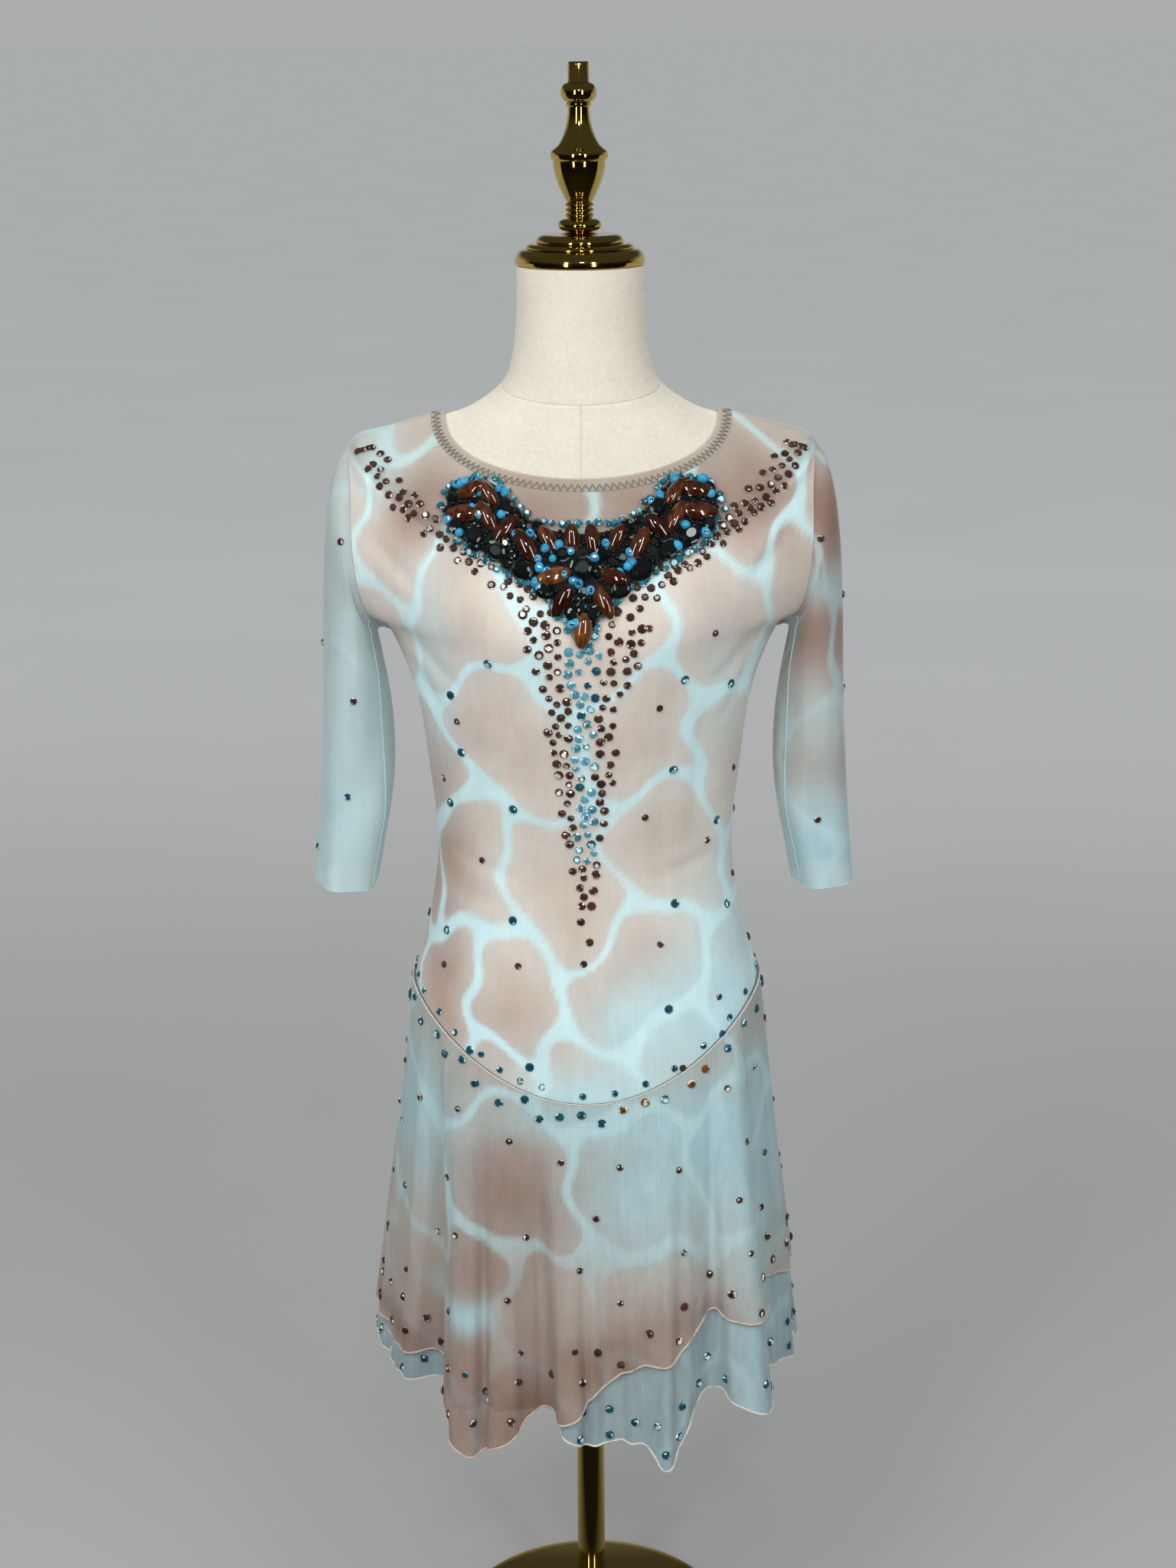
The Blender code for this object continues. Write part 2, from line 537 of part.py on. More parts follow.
def form_torso(made_of):
    levels = [FORM_FOOT_ROW, FORM_FOOT_ROW + 1] + bodice_levels()
    levels += list(range(NECK_ROW, NECK_TOP_ROW + 1))
    grid = np.array([form_ring(level) for level in levels])
    normals = facing(grid_normals(grid, wrap=True), grid)
    normals[0, :, 2] = normals[-1, :, 2] = 0.0
    inset = np.array([smooth_row(BODY, level)[-1] for level in levels])
    grid = grid - inset[:, None, None] * normals
    shell = bmesh.new()
    rings = [[shell.verts.new(p) for p in ring] for ring in grid]
    for low, high in zip(rings, rings[1:]):
        for j in range(FORM_SIDES):
            k = (j + 1) % FORM_SIDES
            shell.faces.new((low[j], low[k], high[k], high[j]))
    shell.faces.new(rings[0][::-1])
    shell.faces.new(rings[-1])
    bmesh.ops.recalc_face_normals(shell, faces=shell.faces)
    return finish("form_torso", shell, bpy.data.meshes.new("form_torso"), made_of)


def panel_finder(grid):
    """Looks up the front panel's point and normal at an x and z."""
    rows, columns = grid.shape[:2]
    points = [Vector(p) for p in grid.reshape(-1, 3)]
    faces = []
    for i in range(rows - 1):
        for j in range(columns - 1):
            a = i * columns + j
            faces.append((a, a + 1, a + columns + 1, a + columns))
    tree = BVHTree.FromPolygons(points, faces)

    def find(x, z):
        place, normal = tree.ray_cast(Vector((x, -1.0, z)), Vector((0, 1, 0)))[:2]
        if normal.y > 0:
            normal.negate()
        return np.array(place), np.array(normal)
    return find


def bead_height(x, z):
    """Height of the bead field over the backing at a place on the applique."""
    height = 0.0
    for bead in BEADS:
        for hand in (1, -1):
            turn = math.radians(bead.turn)
            off_x, off_z = hand * x - bead.x, z - bead.z
            along = (off_x * math.cos(turn) + off_z * math.sin(turn)) / (bead.length / 2)
            aside = (-off_x * math.sin(turn) + off_z * math.cos(turn)) / (bead.width / 2)
            inside = 1 - along ** 2 - aside ** 2
            if inside > 0:
                height = max(height, bead.height * math.sqrt(inside))
    return height


def neck_applique(grid, made_of):
    """The beaded collar: a backing on the front's own points, its outer side raised into beads."""
    find = panel_finder(grid)
    last = len(APPLIQUE) - 1
    outer, inner = [], []
    for place in np.linspace(-last, last, 2 * APPLIQUE_COLUMNS + 1):
        station = Station(*smooth_row(APPLIQUE, abs(place)))
        hand = -1 if place < 0 else 1
        outer_row, inner_row = [], []
        for share in np.linspace(0, 1, APPLIQUE_ROWS + 1):
            x = hand * (station.inner_x + (station.outer_x - station.inner_x) * share)
            z = station.inner_z + (station.outer_z - station.inner_z) * share
            point, normal = find(x, z)
            rim = min(share, 1 - share, last - abs(place))
            rise = APPLIQUE_BACKING + bead_height(x, z) * min(rim / BEAD_RIM, 1.0)
            inner_row.append(point + APPLIQUE_LIFT * normal)
            outer_row.append(point + (APPLIQUE_LIFT + rise) * normal)
        outer.append(outer_row)
        inner.append(inner_row)
    wall("neck_applique", np.array(outer), np.array(inner), made_of)


def step_profile(foot, steps):
    """Profile of stacked discs with softened edges."""
    profile = []
    for radius, height in steps:
        soft = radius - STEP_SOFTNESS
        profile += [(soft, foot), (radius, foot + STEP_SOFTNESS),
                    (radius, foot + height - STEP_SOFTNESS), (soft, foot + height)]
        foot += height
    return profile


def finial_profile():
    profile = []
    for piece in FINIAL:
        if isinstance(piece, Bulb):
            for k in range(piece.steps + 1):
                turn = math.pi * (k / piece.steps - 0.5)
                radius = piece.waist + (piece.radius - piece.waist) * math.cos(turn)
                profile.append((radius, piece.middle + piece.half * math.sin(turn)))
        elif isinstance(piece, Sweep):
            for k in range(piece.steps + 1):
                share = math.sin(math.pi / 2 * k / piece.steps) ** piece.bend
                radius = piece.low_radius + (piece.top_radius - piece.low_radius) * share
                profile.append((radius, piece.low + (piece.top - piece.low) * k / piece.steps))
        else:
            profile.append(piece)
    return [(radius, FINIAL_FOOT + height) for radius, height in profile]


def base_profile():
    """Profile of the base: a rounded rim, a low dome and the flange that holds the pole."""
    dome_foot = BASE_RADIUS - 0.002
    profile = [(BASE_RADIUS - 0.001, 0.0), (BASE_RADIUS, 0.001), (BASE_RADIUS, BASE_RIM - 0.002)]
    for share in np.linspace(0, 1, DOME_STEPS + 1):
        rise = (BASE_DOME - BASE_RIM) * math.sin(math.pi / 2 * share)
        profile.append((dome_foot - (dome_foot - FLANGE_RADIUS) * share, BASE_RIM + rise))
    profile += [(FLANGE_RADIUS, FLANGE_TOP - FLANGE_ROUND), (FLANGE_RADIUS - FLANGE_ROUND, FLANGE_TOP)]
    return profile


def stand(made_of):
    pole_foot, pole_top = FLANGE_TOP + SEAM_GAP, BODY[FORM_FOOT_ROW].z_edge - SEAM_GAP
    turned("base_disc", base_profile(), made_of, BASE_SIDES)
    turned("pole", [(POLE_RADIUS, pole_foot), (POLE_RADIUS, pole_top)], made_of)
    turned("neck_cap", step_profile(CAP_FOOT, CAP_STEPS), made_of, CAP_SIDES)
    turned("finial", finial_profile(), made_of)


def main():
    clear_scene()
    brass = material("polished_brass", (0.55, 0.38, 0.10), 0.10, 1.0)
    linen = material("form_cover", (0.80, 0.76, 0.66), 0.85)
    lined = material("bodice_mesh", (0.58, 0.47, 0.42), 0.60)
    sheer = material("sleeve_mesh", (0.56, 0.64, 0.62), 0.60)
    sand = material("overskirt_mesh", (0.58, 0.45, 0.38), 0.60)
    ice = material("underskirt_mesh", (0.55, 0.70, 0.74), 0.60)
    stones = material("brown_stones", (0.16, 0.05, 0.02), 0.15)
    panels = {-1: bodice(-1, "bodice_front", FRONT_COLUMNS, lined),
              1: bodice(1, "bodice_back", BACK_COLUMNS, lined)}
    neck_band(lined)
    neck_applique(panels[-1][0], stones)
    for hand, name in ((-1, "sleeve_left"), (1, "sleeve_right")):
        sleeve(name, hand, panels, sheer)
    for side, end in ((-1, "front"), (1, "back")):
        skirt(f"overskirt_{end}", side, "over", sand)
        skirt(f"underskirt_{end}", side, "under", ice)
    form_torso(linen)
    stand(brass)


main()
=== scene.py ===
import functools
import math
from collections import namedtuple

import bmesh
import bpy
import numpy as np
from bpy.props import FloatProperty, FloatVectorProperty, IntProperty, PointerProperty
from mathutils import Matrix, Vector
from mathutils.bvhtree import BVHTree


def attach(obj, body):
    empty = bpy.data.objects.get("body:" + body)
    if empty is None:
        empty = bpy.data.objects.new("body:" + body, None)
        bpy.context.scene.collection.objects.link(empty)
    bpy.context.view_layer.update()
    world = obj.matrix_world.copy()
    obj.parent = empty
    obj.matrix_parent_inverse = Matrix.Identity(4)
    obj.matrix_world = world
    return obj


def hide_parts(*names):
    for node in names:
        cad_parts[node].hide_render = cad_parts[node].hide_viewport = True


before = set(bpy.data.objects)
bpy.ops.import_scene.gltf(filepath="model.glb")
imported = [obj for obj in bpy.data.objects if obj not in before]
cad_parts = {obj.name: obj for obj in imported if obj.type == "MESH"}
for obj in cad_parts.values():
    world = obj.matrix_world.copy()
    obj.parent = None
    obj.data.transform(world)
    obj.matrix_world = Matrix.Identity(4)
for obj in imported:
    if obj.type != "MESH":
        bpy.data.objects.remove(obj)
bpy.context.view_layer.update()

bl_info = {
    "name": "Skating dress on a dress form",
    "version": (1, 0, 0),
    "blender": (4, 5, 0),
    "location": "3D View > Sidebar > Skating dress",
    "description": "Sews the dress, sets its stones and turns the brass stand",
    "category": "Object",
}


def table(kind, *rows):
    return [kind(*row) for row in rows]


# Sizes below are in metres and repeat the solids' own, so that each piece lies where its node does.
SEAM_GAP = 0.0003
BODICE_WALL, SLEEVE_WALL, SKIRT_WALL = 0.0012, 0.0008, 0.0008
FORM_INSET, SHOULDER_INSET = 0.0025, 0.0055
ARMHOLE_OPEN = 0.004

# One row is one level curve of the dressed figure, an arc in front (f) and one behind (b): the side edge,
# the middle of each arc, how pointed its dip is there, how far inside the form's cover lies, and at the
# armholes how the edge flares and how far apart the arcs end.
BodyRow = namedtuple(
    "BodyRow", "x_edge z_edge f_mid_y f_mid_z b_mid_y b_mid_z point inset flare f_edge b_edge",
    defaults=[1.0, 0.0, 0.0, 0.0, 0.0])
BODY = table(
    BodyRow,
    (0.147, 0.545, -0.1, 0.545, 0.104, 0.545, 1.0, FORM_INSET),
    (0.151, 0.605, -0.103, 0.565, 0.109, 0.574, 1.7, FORM_INSET),
    (0.1475, 0.665, -0.104, 0.5845, 0.11, 0.604, 2.2, FORM_INSET),
    (0.1365, 0.705, -0.098, 0.655, 0.103, 0.668, 1.8, FORM_INSET),
    (0.1246, 0.783, -0.081, 0.768, 0.074, 0.772, 1.0, FORM_INSET),
    (0.1308, 0.858, -0.093, 0.85, 0.083, 0.856, 1.0, FORM_INSET),
    (0.1388, 0.916, -0.108, 0.914, 0.096, 0.922, 1.0, FORM_INSET),
    (0.16, 0.969, -0.115, 0.96, 0.105, 0.975, 1.0, SHOULDER_INSET, 0.016),
    (0.1768, 0.991, -0.115, 0.986, 0.107, 1.003, 1.0, SHOULDER_INSET, 0.022, -0.033, 0.035),
    (0.1845, 1.035, -0.11, 1.011, 0.106, 1.032, 1.0, SHOULDER_INSET, 0.017, -0.047, 0.048),
    (0.1858, 1.088, -0.103, 1.035, 0.1, 1.062, 1.0, SHOULDER_INSET, 0.008, -0.036, 0.041),
    (0.1862, 1.127, -0.094, 1.058, 0.09, 1.086, 1.25, SHOULDER_INSET),
    (0.152, 1.139, -0.083, 1.08, 0.077, 1.107, 1.0, FORM_INSET),
    (0.1215, 1.1475, -0.0745, 1.0955, 0.068, 1.1205, 1.0, FORM_INSET),
    (0.1105, 1.149, -0.07, 1.105, 0.0635, 1.13, 1.0, FORM_INSET),
    (0.088, 1.1545, -0.0615, 1.134, 0.059, 1.148), (0.0645, 1.1715, -0.056, 1.16, 0.056, 1.169),
    (0.0555, 1.192, -0.0525, 1.188, 0.053, 1.19), (0.0515, 1.225, -0.0505, 1.225, 0.0505, 1.225),
    (0.0507, 1.2642, -0.0507, 1.2642, 0.0507, 1.2642))
FORM_FOOT_ROW, YOKE_ROW, ARMPIT_ROW, TIP_ROW, BAND_ROW, NECK_ROW, NECK_SEAM_ROW = 0, 2, 7, 11, 13, 14, 16
NECK_TOP_ROW = len(BODY) - 1
BODICE_TOP, BAND_FOOT = BAND_ROW - 0.014, BAND_ROW + 0.02
ROUNDNESS = 0.88
FLARE_BEND = 5
ON_SEAM = 1e-6
# The bust: its place in x and z, how far it rises, and its reach in x and z.
BUST = (0.066, 0.988, 0.011, 0.036, 0.04)

# Sleeve rings from the armhole to the cuff.
SleeveRing = namedtuple("SleeveRing", "x_out z_out x_in z_in half_depth y_mid")
SLEEVE = table(
    SleeveRing,
    (0.194, 1.119, 0.1668, 0.9735, 0.0515, 0.0), (0.202, 1.1005, 0.1708, 0.968, 0.051, 0.0),
    (0.2072, 1.078, 0.1704, 0.956, 0.0495, 0.0), (0.211, 1.044, 0.1672, 0.943, 0.047, -0.0005),
    (0.2135, 1.004, 0.1638, 0.926, 0.045, -0.001), (0.216, 0.955, 0.1612, 0.903, 0.043, -0.002),
    (0.2185, 0.905, 0.1602, 0.875, 0.0415, -0.003), (0.2205, 0.86, 0.1606, 0.845, 0.04, -0.004),
    (0.2225, 0.82, 0.1638, 0.814, 0.039, -0.005), (0.2255, 0.786, 0.1702, 0.783, 0.0382, -0.006),
    (0.2285, 0.7545, 0.1768, 0.7515, 0.0376, -0.007))
SLEEVE_SPREAD = 1.15
OUTSIDE = 0.065
HEAD_EASE, HEAD_EASE_ASIDE = 0.03, 0.24
CREASE_TOP, CREASE_END, CREASE_DEPTH, CREASE_TURN, CREASE_REACH = 0.16, 0.8, 0.005, 128.0, 26.0
# Small soft waves round a sleeve, which grow towards the cuff or its middle: height, how many go round,
# and how many degrees they turn on the way down.
CUFF_WAVES, ARM_WAVES = (0.0017, 5, 60), (0.0012, 3, 700)

# Hem folds of the skirt's front: turn is the place on the yoke seam, x and y the place at REFERENCE_Z.
HemFold = namedtuple("HemFold", "turn x y over_z under_z")
REFERENCE_Z = 0.3
FRONT_FOLDS = table(
    HemFold,
    (-90, -0.185, 0.0, 0.336, 0.303), (-79, -0.183, -0.034, 0.332, 0.303),
    (-69, -0.164, -0.066, 0.334, 0.307), (-62, -0.132, -0.078, 0.341, 0.314),
    (-57, -0.113, -0.1, 0.332, 0.32), (-53, -0.1235, -0.131, 0.318, 0.324),
    (-48, -0.1215, -0.156, 0.3, 0.327), (-42, -0.104, -0.168, 0.291, 0.328),
    (-36, -0.088, -0.155, 0.293, 0.329), (-30, -0.071, -0.162, 0.301, 0.328),
    (-24, -0.056, -0.157, 0.314, 0.324), (-18, -0.04, -0.146, 0.321, 0.318),
    (-11, -0.023, -0.171, 0.319, 0.307), (-2, -0.002, -0.16, 0.335, 0.296),
    (8, 0.021, -0.163, 0.353, 0.298), (19, 0.046, -0.166, 0.366, 0.296), (28, 0.066, -0.172, 0.369, 0.283),
    (37, 0.087, -0.157, 0.388, 0.316), (44, 0.105, -0.141, 0.401, 0.33), (50, 0.126, -0.158, 0.397, 0.326),
    (55, 0.149, -0.152, 0.393, 0.317), (59, 0.1545, -0.126, 0.395, 0.316),
    (63, 0.139, -0.099, 0.398, 0.318), (68, 0.144, -0.077, 0.398, 0.314), (75, 0.166, -0.055, 0.395, 0.308),
    (82, 0.1795, -0.029, 0.388, 0.303), (90, 0.1835, 0.0, 0.38, 0.302))
BACK_WAVES, BACK_WAVE_RISE = 6, 0.105
BACK_HEM_DEPTH, BACK_HEM_DIP = 0.151, 0.012
SIDE_TRIM = 0.055
OVER_OFFSET, UNDER_OFFSET = 0.0026, 0.0013
HEM_LAYER_GAP = 0.0042
# Fine soft flutes between the main folds: how many go round, share of FLUTE_DEPTH, start and lean.
FLUTE_DEPTH = 0.0034
FLUTES = ((31, 0.6, 0.0, 0), (53, 0.4, 1.0, 0), (17, 0.5, 0.0, 4), (12, 1.4, 2.2, 0))

# The collar's right half: the inner and outer edge points of each station.
Station = namedtuple("Station", "inner_x inner_z outer_x outer_z")
COLLAR = table(
    Station,
    (0.0, 1.07, 0.0, 0.98), (0.016, 1.07, 0.015, 1.002), (0.03, 1.0725, 0.032, 1.022),
    (0.043, 1.079, 0.054, 1.035), (0.054, 1.089, 0.079, 1.048), (0.062, 1.0985, 0.1, 1.064),
    (0.071, 1.1025, 0.109, 1.084), (0.084, 1.104, 0.103, 1.099))
COLLAR_ENDS = len(COLLAR) - 1
COLLAR_LIFT, COLLAR_BACKING = 0.0006, 0.0012
# Its long oval stones, and the large black cut stones between them.
Oval = namedtuple("Oval", "x z turn length width height")
OVALS = table(
    Oval,
    (0.0, 0.993, 90, 0.026, 0.012, 0.007), (0.016, 1.015, 125, 0.028, 0.011, 0.007),
    (0.022, 1.034, 170, 0.028, 0.011, 0.0065), (0.008, 1.06, 100, 0.024, 0.01, 0.006),
    (0.026, 1.06, 60, 0.024, 0.01, 0.006), (0.044, 1.056, 60, 0.028, 0.011, 0.0065),
    (0.06, 1.068, 140, 0.026, 0.01, 0.006), (0.074, 1.076, 60, 0.026, 0.01, 0.006),
    (0.092, 1.078, 170, 0.028, 0.012, 0.007), (0.088, 1.094, 160, 0.026, 0.011, 0.007),
    (0.073, 1.093, 60, 0.024, 0.01, 0.006))
CUT_STONES = table(
    Oval,
    (0.0, 1.04, 90, 0.018, 0.016, 0.0085), (0.0085, 1.0055, 62, 0.016, 0.009, 0.007),
    (0.03, 1.023, 40, 0.015, 0.011, 0.008), (0.047, 1.038, 25, 0.018, 0.013, 0.0085),
    (0.067, 1.052, 35, 0.017, 0.012, 0.0085), (0.085, 1.063, 40, 0.016, 0.012, 0.008),
    (0.099, 1.07, 80, 0.013, 0.01, 0.0075), (0.0345, 1.069, 80, 0.012, 0.009, 0.007),
    (0.016, 1.05, 10, 0.013, 0.01, 0.0075), (0.0585, 1.083, 60, 0.015, 0.011, 0.008),
    (0.0815, 1.086, 20, 0.013, 0.009, 0.0075))
# How much of a stone's length, width and height in these tables the set stone shows.
OVAL_SHOWN = (0.56, 0.64, 0.76)
# How uneven the collar is: how far ovals, rim stones and cut stones tip, how far ovals turn, and how far
# rim stones stray.
OVAL_TIP, RIM_TIP, CUT_TIP, OVAL_TURN, RIM_STRAY = 0.13, 0.15, 0.22, 0.12, 0.0012
# The rim stones' lines outside both edges, their spacing and height beside their size, and how it varies.
RIM_LINES, RIM_SPACING, RIM_HEIGHT, RIM_SIZES = (-0.03, 1.03), 1.12, 1.3, (0.85, 1.2)
# The stones that fill the collar: radius, how close to others, how many, and how far from its edge.
Filling = namedtuple("Filling", "radius overlap count rim")
BLACK_FILLING, TURQUOISE_FILLING, BEAD_FILLING = FILLINGS = table(
    Filling, (0.0046, 0.76, 36, 0.08), (0.0037, 0.66, 42, 0.03), (0.0017, 0.9, 200, 0.05))
FILLING_TRIES = 4000

# The stand's turned steps. Each step of the cap has a radius, a height and how far its edge is rounded in.
BASE_RADIUS, BASE_RIM, BASE_DOME, BASE_ROUND = 0.129, 0.007, 0.016, 0.002
FLANGE_RADIUS, FLANGE_TOP, FLANGE_ROUND = 0.024, 0.028, 0.003
POLE_RADIUS = 0.0127
CAP_FOOT = BODY[NECK_TOP_ROW].z_edge + SEAM_GAP
CAP_STEPS = [(0.052, 0.0125, 0.008), (0.043, 0.0042, 0.0055), (0.0349, 0.007, 0.008)]
# How much of a step is below its widest ring, and how far it draws in there.
CAP_UNDER, CAP_UNDERCUT = 0.24, 0.0012
FINIAL_FOOT = CAP_FOOT + sum(step[1] for step in CAP_STEPS) + SEAM_GAP
Bulb = namedtuple("Bulb", "radius waist middle half")
Sweep = namedtuple("Sweep", "low_radius top_radius low top bend")
FINIAL = [
    (0.015, 0.0), (0.0105, 0.0012),
    Bulb(0.0174, 0.01, 0.0068, 0.005),
    Bulb(0.0114, 0.0095, 0.0142, 0.0017),
    Bulb(0.0114, 0.0095, 0.0182, 0.0017),
    Bulb(0.0114, 0.0095, 0.0222, 0.0017),
    Sweep(0.0113, 0.0208, 0.0262, 0.0562, 1.0),
    (0.0219, 0.057), (0.0226, 0.0582), (0.0228, 0.0606), (0.0226, 0.0628), (0.0216, 0.064),
    Sweep(0.02, 0.0085, 0.065, 0.097, 0.62),
    (0.0096, 0.0974), (0.01, 0.098), (0.01, 0.0994), (0.0094, 0.1),
    Bulb(0.0142, 0.009, 0.1077, 0.0072),
    (0.0084, 0.1157), (0.0084, 0.1293), (0.008, 0.1303), (0.0072, 0.1309),
]

# Each cloth's cut as it shows: width and length, area, how it is held and what it hangs from. The turned
# edges and seam allowances are left out.
Cut = namedtuple("Cut", "width length area held hangs_from")

# How finely the cloth is meshed: about 3 mm, which carries an airbrushed line's soft edge.
PANEL_COLUMNS = 120
PANEL_ROWS = (110, 36, 22)
PANEL_ACROSS = np.linspace(-1, 1, PANEL_COLUMNS + 1)
SLEEVE_SIDES, SLEEVE_RINGS = 2 * PANEL_ROWS[1], 104
SKIRT_ROWS, FRONT_SKIRT_COLUMNS, BACK_SKIRT_COLUMNS = 92, 234, 192
# The form's cover: columns, finer turns on both sides of the front seam, rows from one level to the next,
# and finer levels at the neck seam. Then each seam's depth and half width.
FORM_COLUMNS, FORM_SEAM_TURNS = 112, (-0.034, -0.017, -0.0085, 0.0085, 0.017, 0.034)
FORM_SPANS = ((FORM_FOOT_ROW, YOKE_ROW, 8), (YOKE_ROW, ARMPIT_ROW, 50), (ARMPIT_ROW, TIP_ROW, 25),
              (TIP_ROW, NECK_ROW, 20), (NECK_ROW, NECK_TOP_ROW, 40))
FORM_NECK_LEVELS = (-0.07, -0.035, 0.0175, 0.035, 0.07)
FRONT_SEAM, NECK_SEAM = (0.0011, 0.013), (0.0008, 0.03)
FRONT_TURN = 1.5 * math.pi

# Soft creases of the bodice's front, drawn in the front view: both ends, depth and half width.
Crease = namedtuple("Crease", "x0 z0 x1 z1 depth width")
CREASES = table(
    Crease,
    (-0.15, 0.985, -0.098, 0.935, 0.0015, 0.006), (-0.146, 0.96, -0.104, 0.9, 0.0011, 0.005),
    (0.152, 0.985, 0.104, 0.94, 0.0015, 0.006), (0.146, 0.962, 0.11, 0.905, 0.0011, 0.005),
    (-0.07, 0.945, -0.058, 0.8, 0.0009, 0.008), (-0.094, 0.925, -0.084, 0.79, 0.0008, 0.007),
    (0.072, 0.945, 0.062, 0.8, 0.0009, 0.008), (0.098, 0.925, 0.088, 0.79, 0.0008, 0.007),
    (-0.112, 0.792, -0.05, 0.77, 0.0009, 0.006), (0.112, 0.79, 0.056, 0.772, 0.0009, 0.006),
    (-0.116, 0.76, -0.066, 0.744, 0.0008, 0.006), (-0.17, 1.06, -0.128, 1.015, 0.0014, 0.006),
    (0.168, 1.062, 0.13, 1.02, 0.0014, 0.006))

# The ridge beside a crease: its height and how far off it is, beside the crease's depth and half width.
RIDGE_SHARE, RIDGE_OFF = 0.45, 1.7

# Airbrushed tints of each piece: colour, place in x and z, reach in x and z, and strength.
Tint = namedtuple("Tint", "kind x z reach_x reach_z strength")
# The tints at the side seams run on from front to back.
BODICE_SIDES = (
    ("rust", -0.122, 0.77, 0.026, 0.17, 0.7), ("aqua", 0.12, 0.64, 0.044, 0.115, 0.97),
    ("aqua", -0.12, 0.95, 0.018, 0.08, 0.45))
SKIRT_SIDES = (
    ("rust", 0.17, 0.44, 0.02, 0.016, 0.6), ("rust", -0.165, 0.35, 0.03, 0.02, 0.85),
    ("aqua", 0.15, 0.5, 0.036, 0.12, 0.8), ("aqua", -0.15, 0.56, 0.04, 0.08, 0.85))
# The second aqua tint, at the lower layer's right, is partly aqua dye and partly a painted highlight.
LOWER_SKIRT_TINTS = table(
    Tint, ("aqua", 0.0, 0.4, 0.5, 0.5, 0.28), ("aqua", 0.15, 0.38, 0.04, 0.08, 0.4))
TINTS = {
    "bodice_front": table(
        Tint, *BODICE_SIDES,
        ("rust", -0.07, 0.64, 0.07, 0.05, 0.35), ("rust", 0.02, 0.7, 0.06, 0.06, 0.22),
        ("rust", -0.128, 1.085, 0.034, 0.036, 0.85), ("rust", 0.15, 1.08, 0.04, 0.05, 0.7),
        ("rust", 0.105, 1.11, 0.045, 0.03, 0.6), ("rust", 0.0, 1.085, 0.13, 0.03, 0.88),
        ("aqua", 0.01, 0.59, 0.09, 0.026, 0.82), ("aqua", 0.064, 0.65, 0.042, 0.046, 0.72),
        ("aqua", 0.03, 0.645, 0.032, 0.036, 0.62), ("aqua", -0.165, 1.115, 0.022, 0.03, 0.6),
        ("aqua", 0.112, 0.93, 0.02, 0.06, 0.4)),
    "bodice_back": table(
        Tint, *BODICE_SIDES,
        ("rust", 0.06, 0.83, 0.045, 0.12, 0.5), ("rust", -0.06, 0.98, 0.06, 0.07, 0.4),
        ("aqua", -0.06, 0.68, 0.045, 0.07, 0.7), ("aqua", 0.02, 0.61, 0.12, 0.025, 0.6)),
    "sleeve_left": table(
        Tint,
        ("aqua", -0.19, 0.93, 0.2, 0.4, 0.52), ("line", -0.205, 0.8, 0.2, 0.14, 0.72)),
    "sleeve_right": table(
        Tint,
        ("rust", 0.19, 1.065, 0.06, 0.046, 0.8), ("rust", 0.205, 0.972, 0.06, 0.034, 0.62),
        ("rust", 0.205, 0.985, 0.06, 0.13, 0.45), ("rust", 0.205, 0.85, 0.06, 0.026, 0.36),
        ("aqua", 0.2, 0.785, 0.06, 0.062, 0.95), ("aqua", 0.2, 1.012, 0.06, 0.014, 0.5),
        ("line", 0.2, 0.9, 0.06, 0.034, 0.5)),
    "overskirt_front": table(
        Tint, *SKIRT_SIDES,
        ("rust", -0.1, 0.33, 0.05, 0.075, 0.75), ("rust", -0.085, 0.47, 0.04, 0.085, 0.7),
        ("rust", -0.06, 0.318, 0.07, 0.036, 0.95), ("rust", 0.02, 0.366, 0.06, 0.034, 0.9),
        ("rust", -0.04, 0.5, 0.05, 0.06, 0.5), ("rust", 0.1, 0.4, 0.05, 0.02, 0.7),
        ("aqua", 0.1, 0.545, 0.07, 0.07, 0.9), ("aqua", 0.04, 0.505, 0.046, 0.05, 0.72),
        ("aqua", 0.02, 0.572, 0.1, 0.02, 0.8), ("aqua", -0.105, 0.405, 0.026, 0.014, 0.85)),
    "overskirt_back": table(
        Tint, *SKIRT_SIDES,
        ("rust", 0.0, 0.33, 0.2, 0.035, 0.7), ("aqua", 0.08, 0.54, 0.07, 0.08, 0.7),
        ("aqua", -0.11, 0.52, 0.05, 0.09, 0.6)),
    "underskirt_front": LOWER_SKIRT_TINTS,
    "underskirt_back": LOWER_SKIRT_TINTS,
    "neck_band": table(Tint, ("rust", 0.0, 1.105, 0.06, 0.02, 0.12)),
}

# The dyed cell network: seed, cell width and height, half width of a line, strength, and the heights
# between which its lines fade out downward.
Network = namedtuple("Network", "seed width height line strength fade", defaults=[(-1.0, 0.0)])
NETWORKS = {
    "bodice_front": Network(11, 0.098, 0.1, 0.0021, 1.0),
    "bodice_back": Network(23, 0.098, 0.1, 0.0021, 1.0),
    "sleeve_left": Network(5, 0.12, 0.13, 0.0028, 0.5),
    "sleeve_right": Network(8, 0.12, 0.105, 0.0032, 0.66),
    "overskirt_front": Network(31, 0.125, 0.115, 0.003, 0.95, (0.4, 0.52)),
    "overskirt_back": Network(37, 0.125, 0.115, 0.003, 0.95, (0.4, 0.52)),
    "underskirt_front": Network(41, 0.15, 0.17, 0.003, 0.25),
    "underskirt_back": Network(43, 0.15, 0.17, 0.003, 0.25),
    "neck_band": Network(47, 0.12, 0.12, 0.003, 0.15),
}
# How far a cell's centre is moved at most, beside its size. How its lines wander across and down: a large
# wave's height, period and start, and a fine wave's height and period and how it leans.
CELL_SHIFT = 0.27
WANDER_ACROSS = (0.009, 0.13, 1.0, 0.005, 0.061, 30)
WANDER_DOWN = (0.01, 0.15, 2.0, 0.005, 0.07, 20)
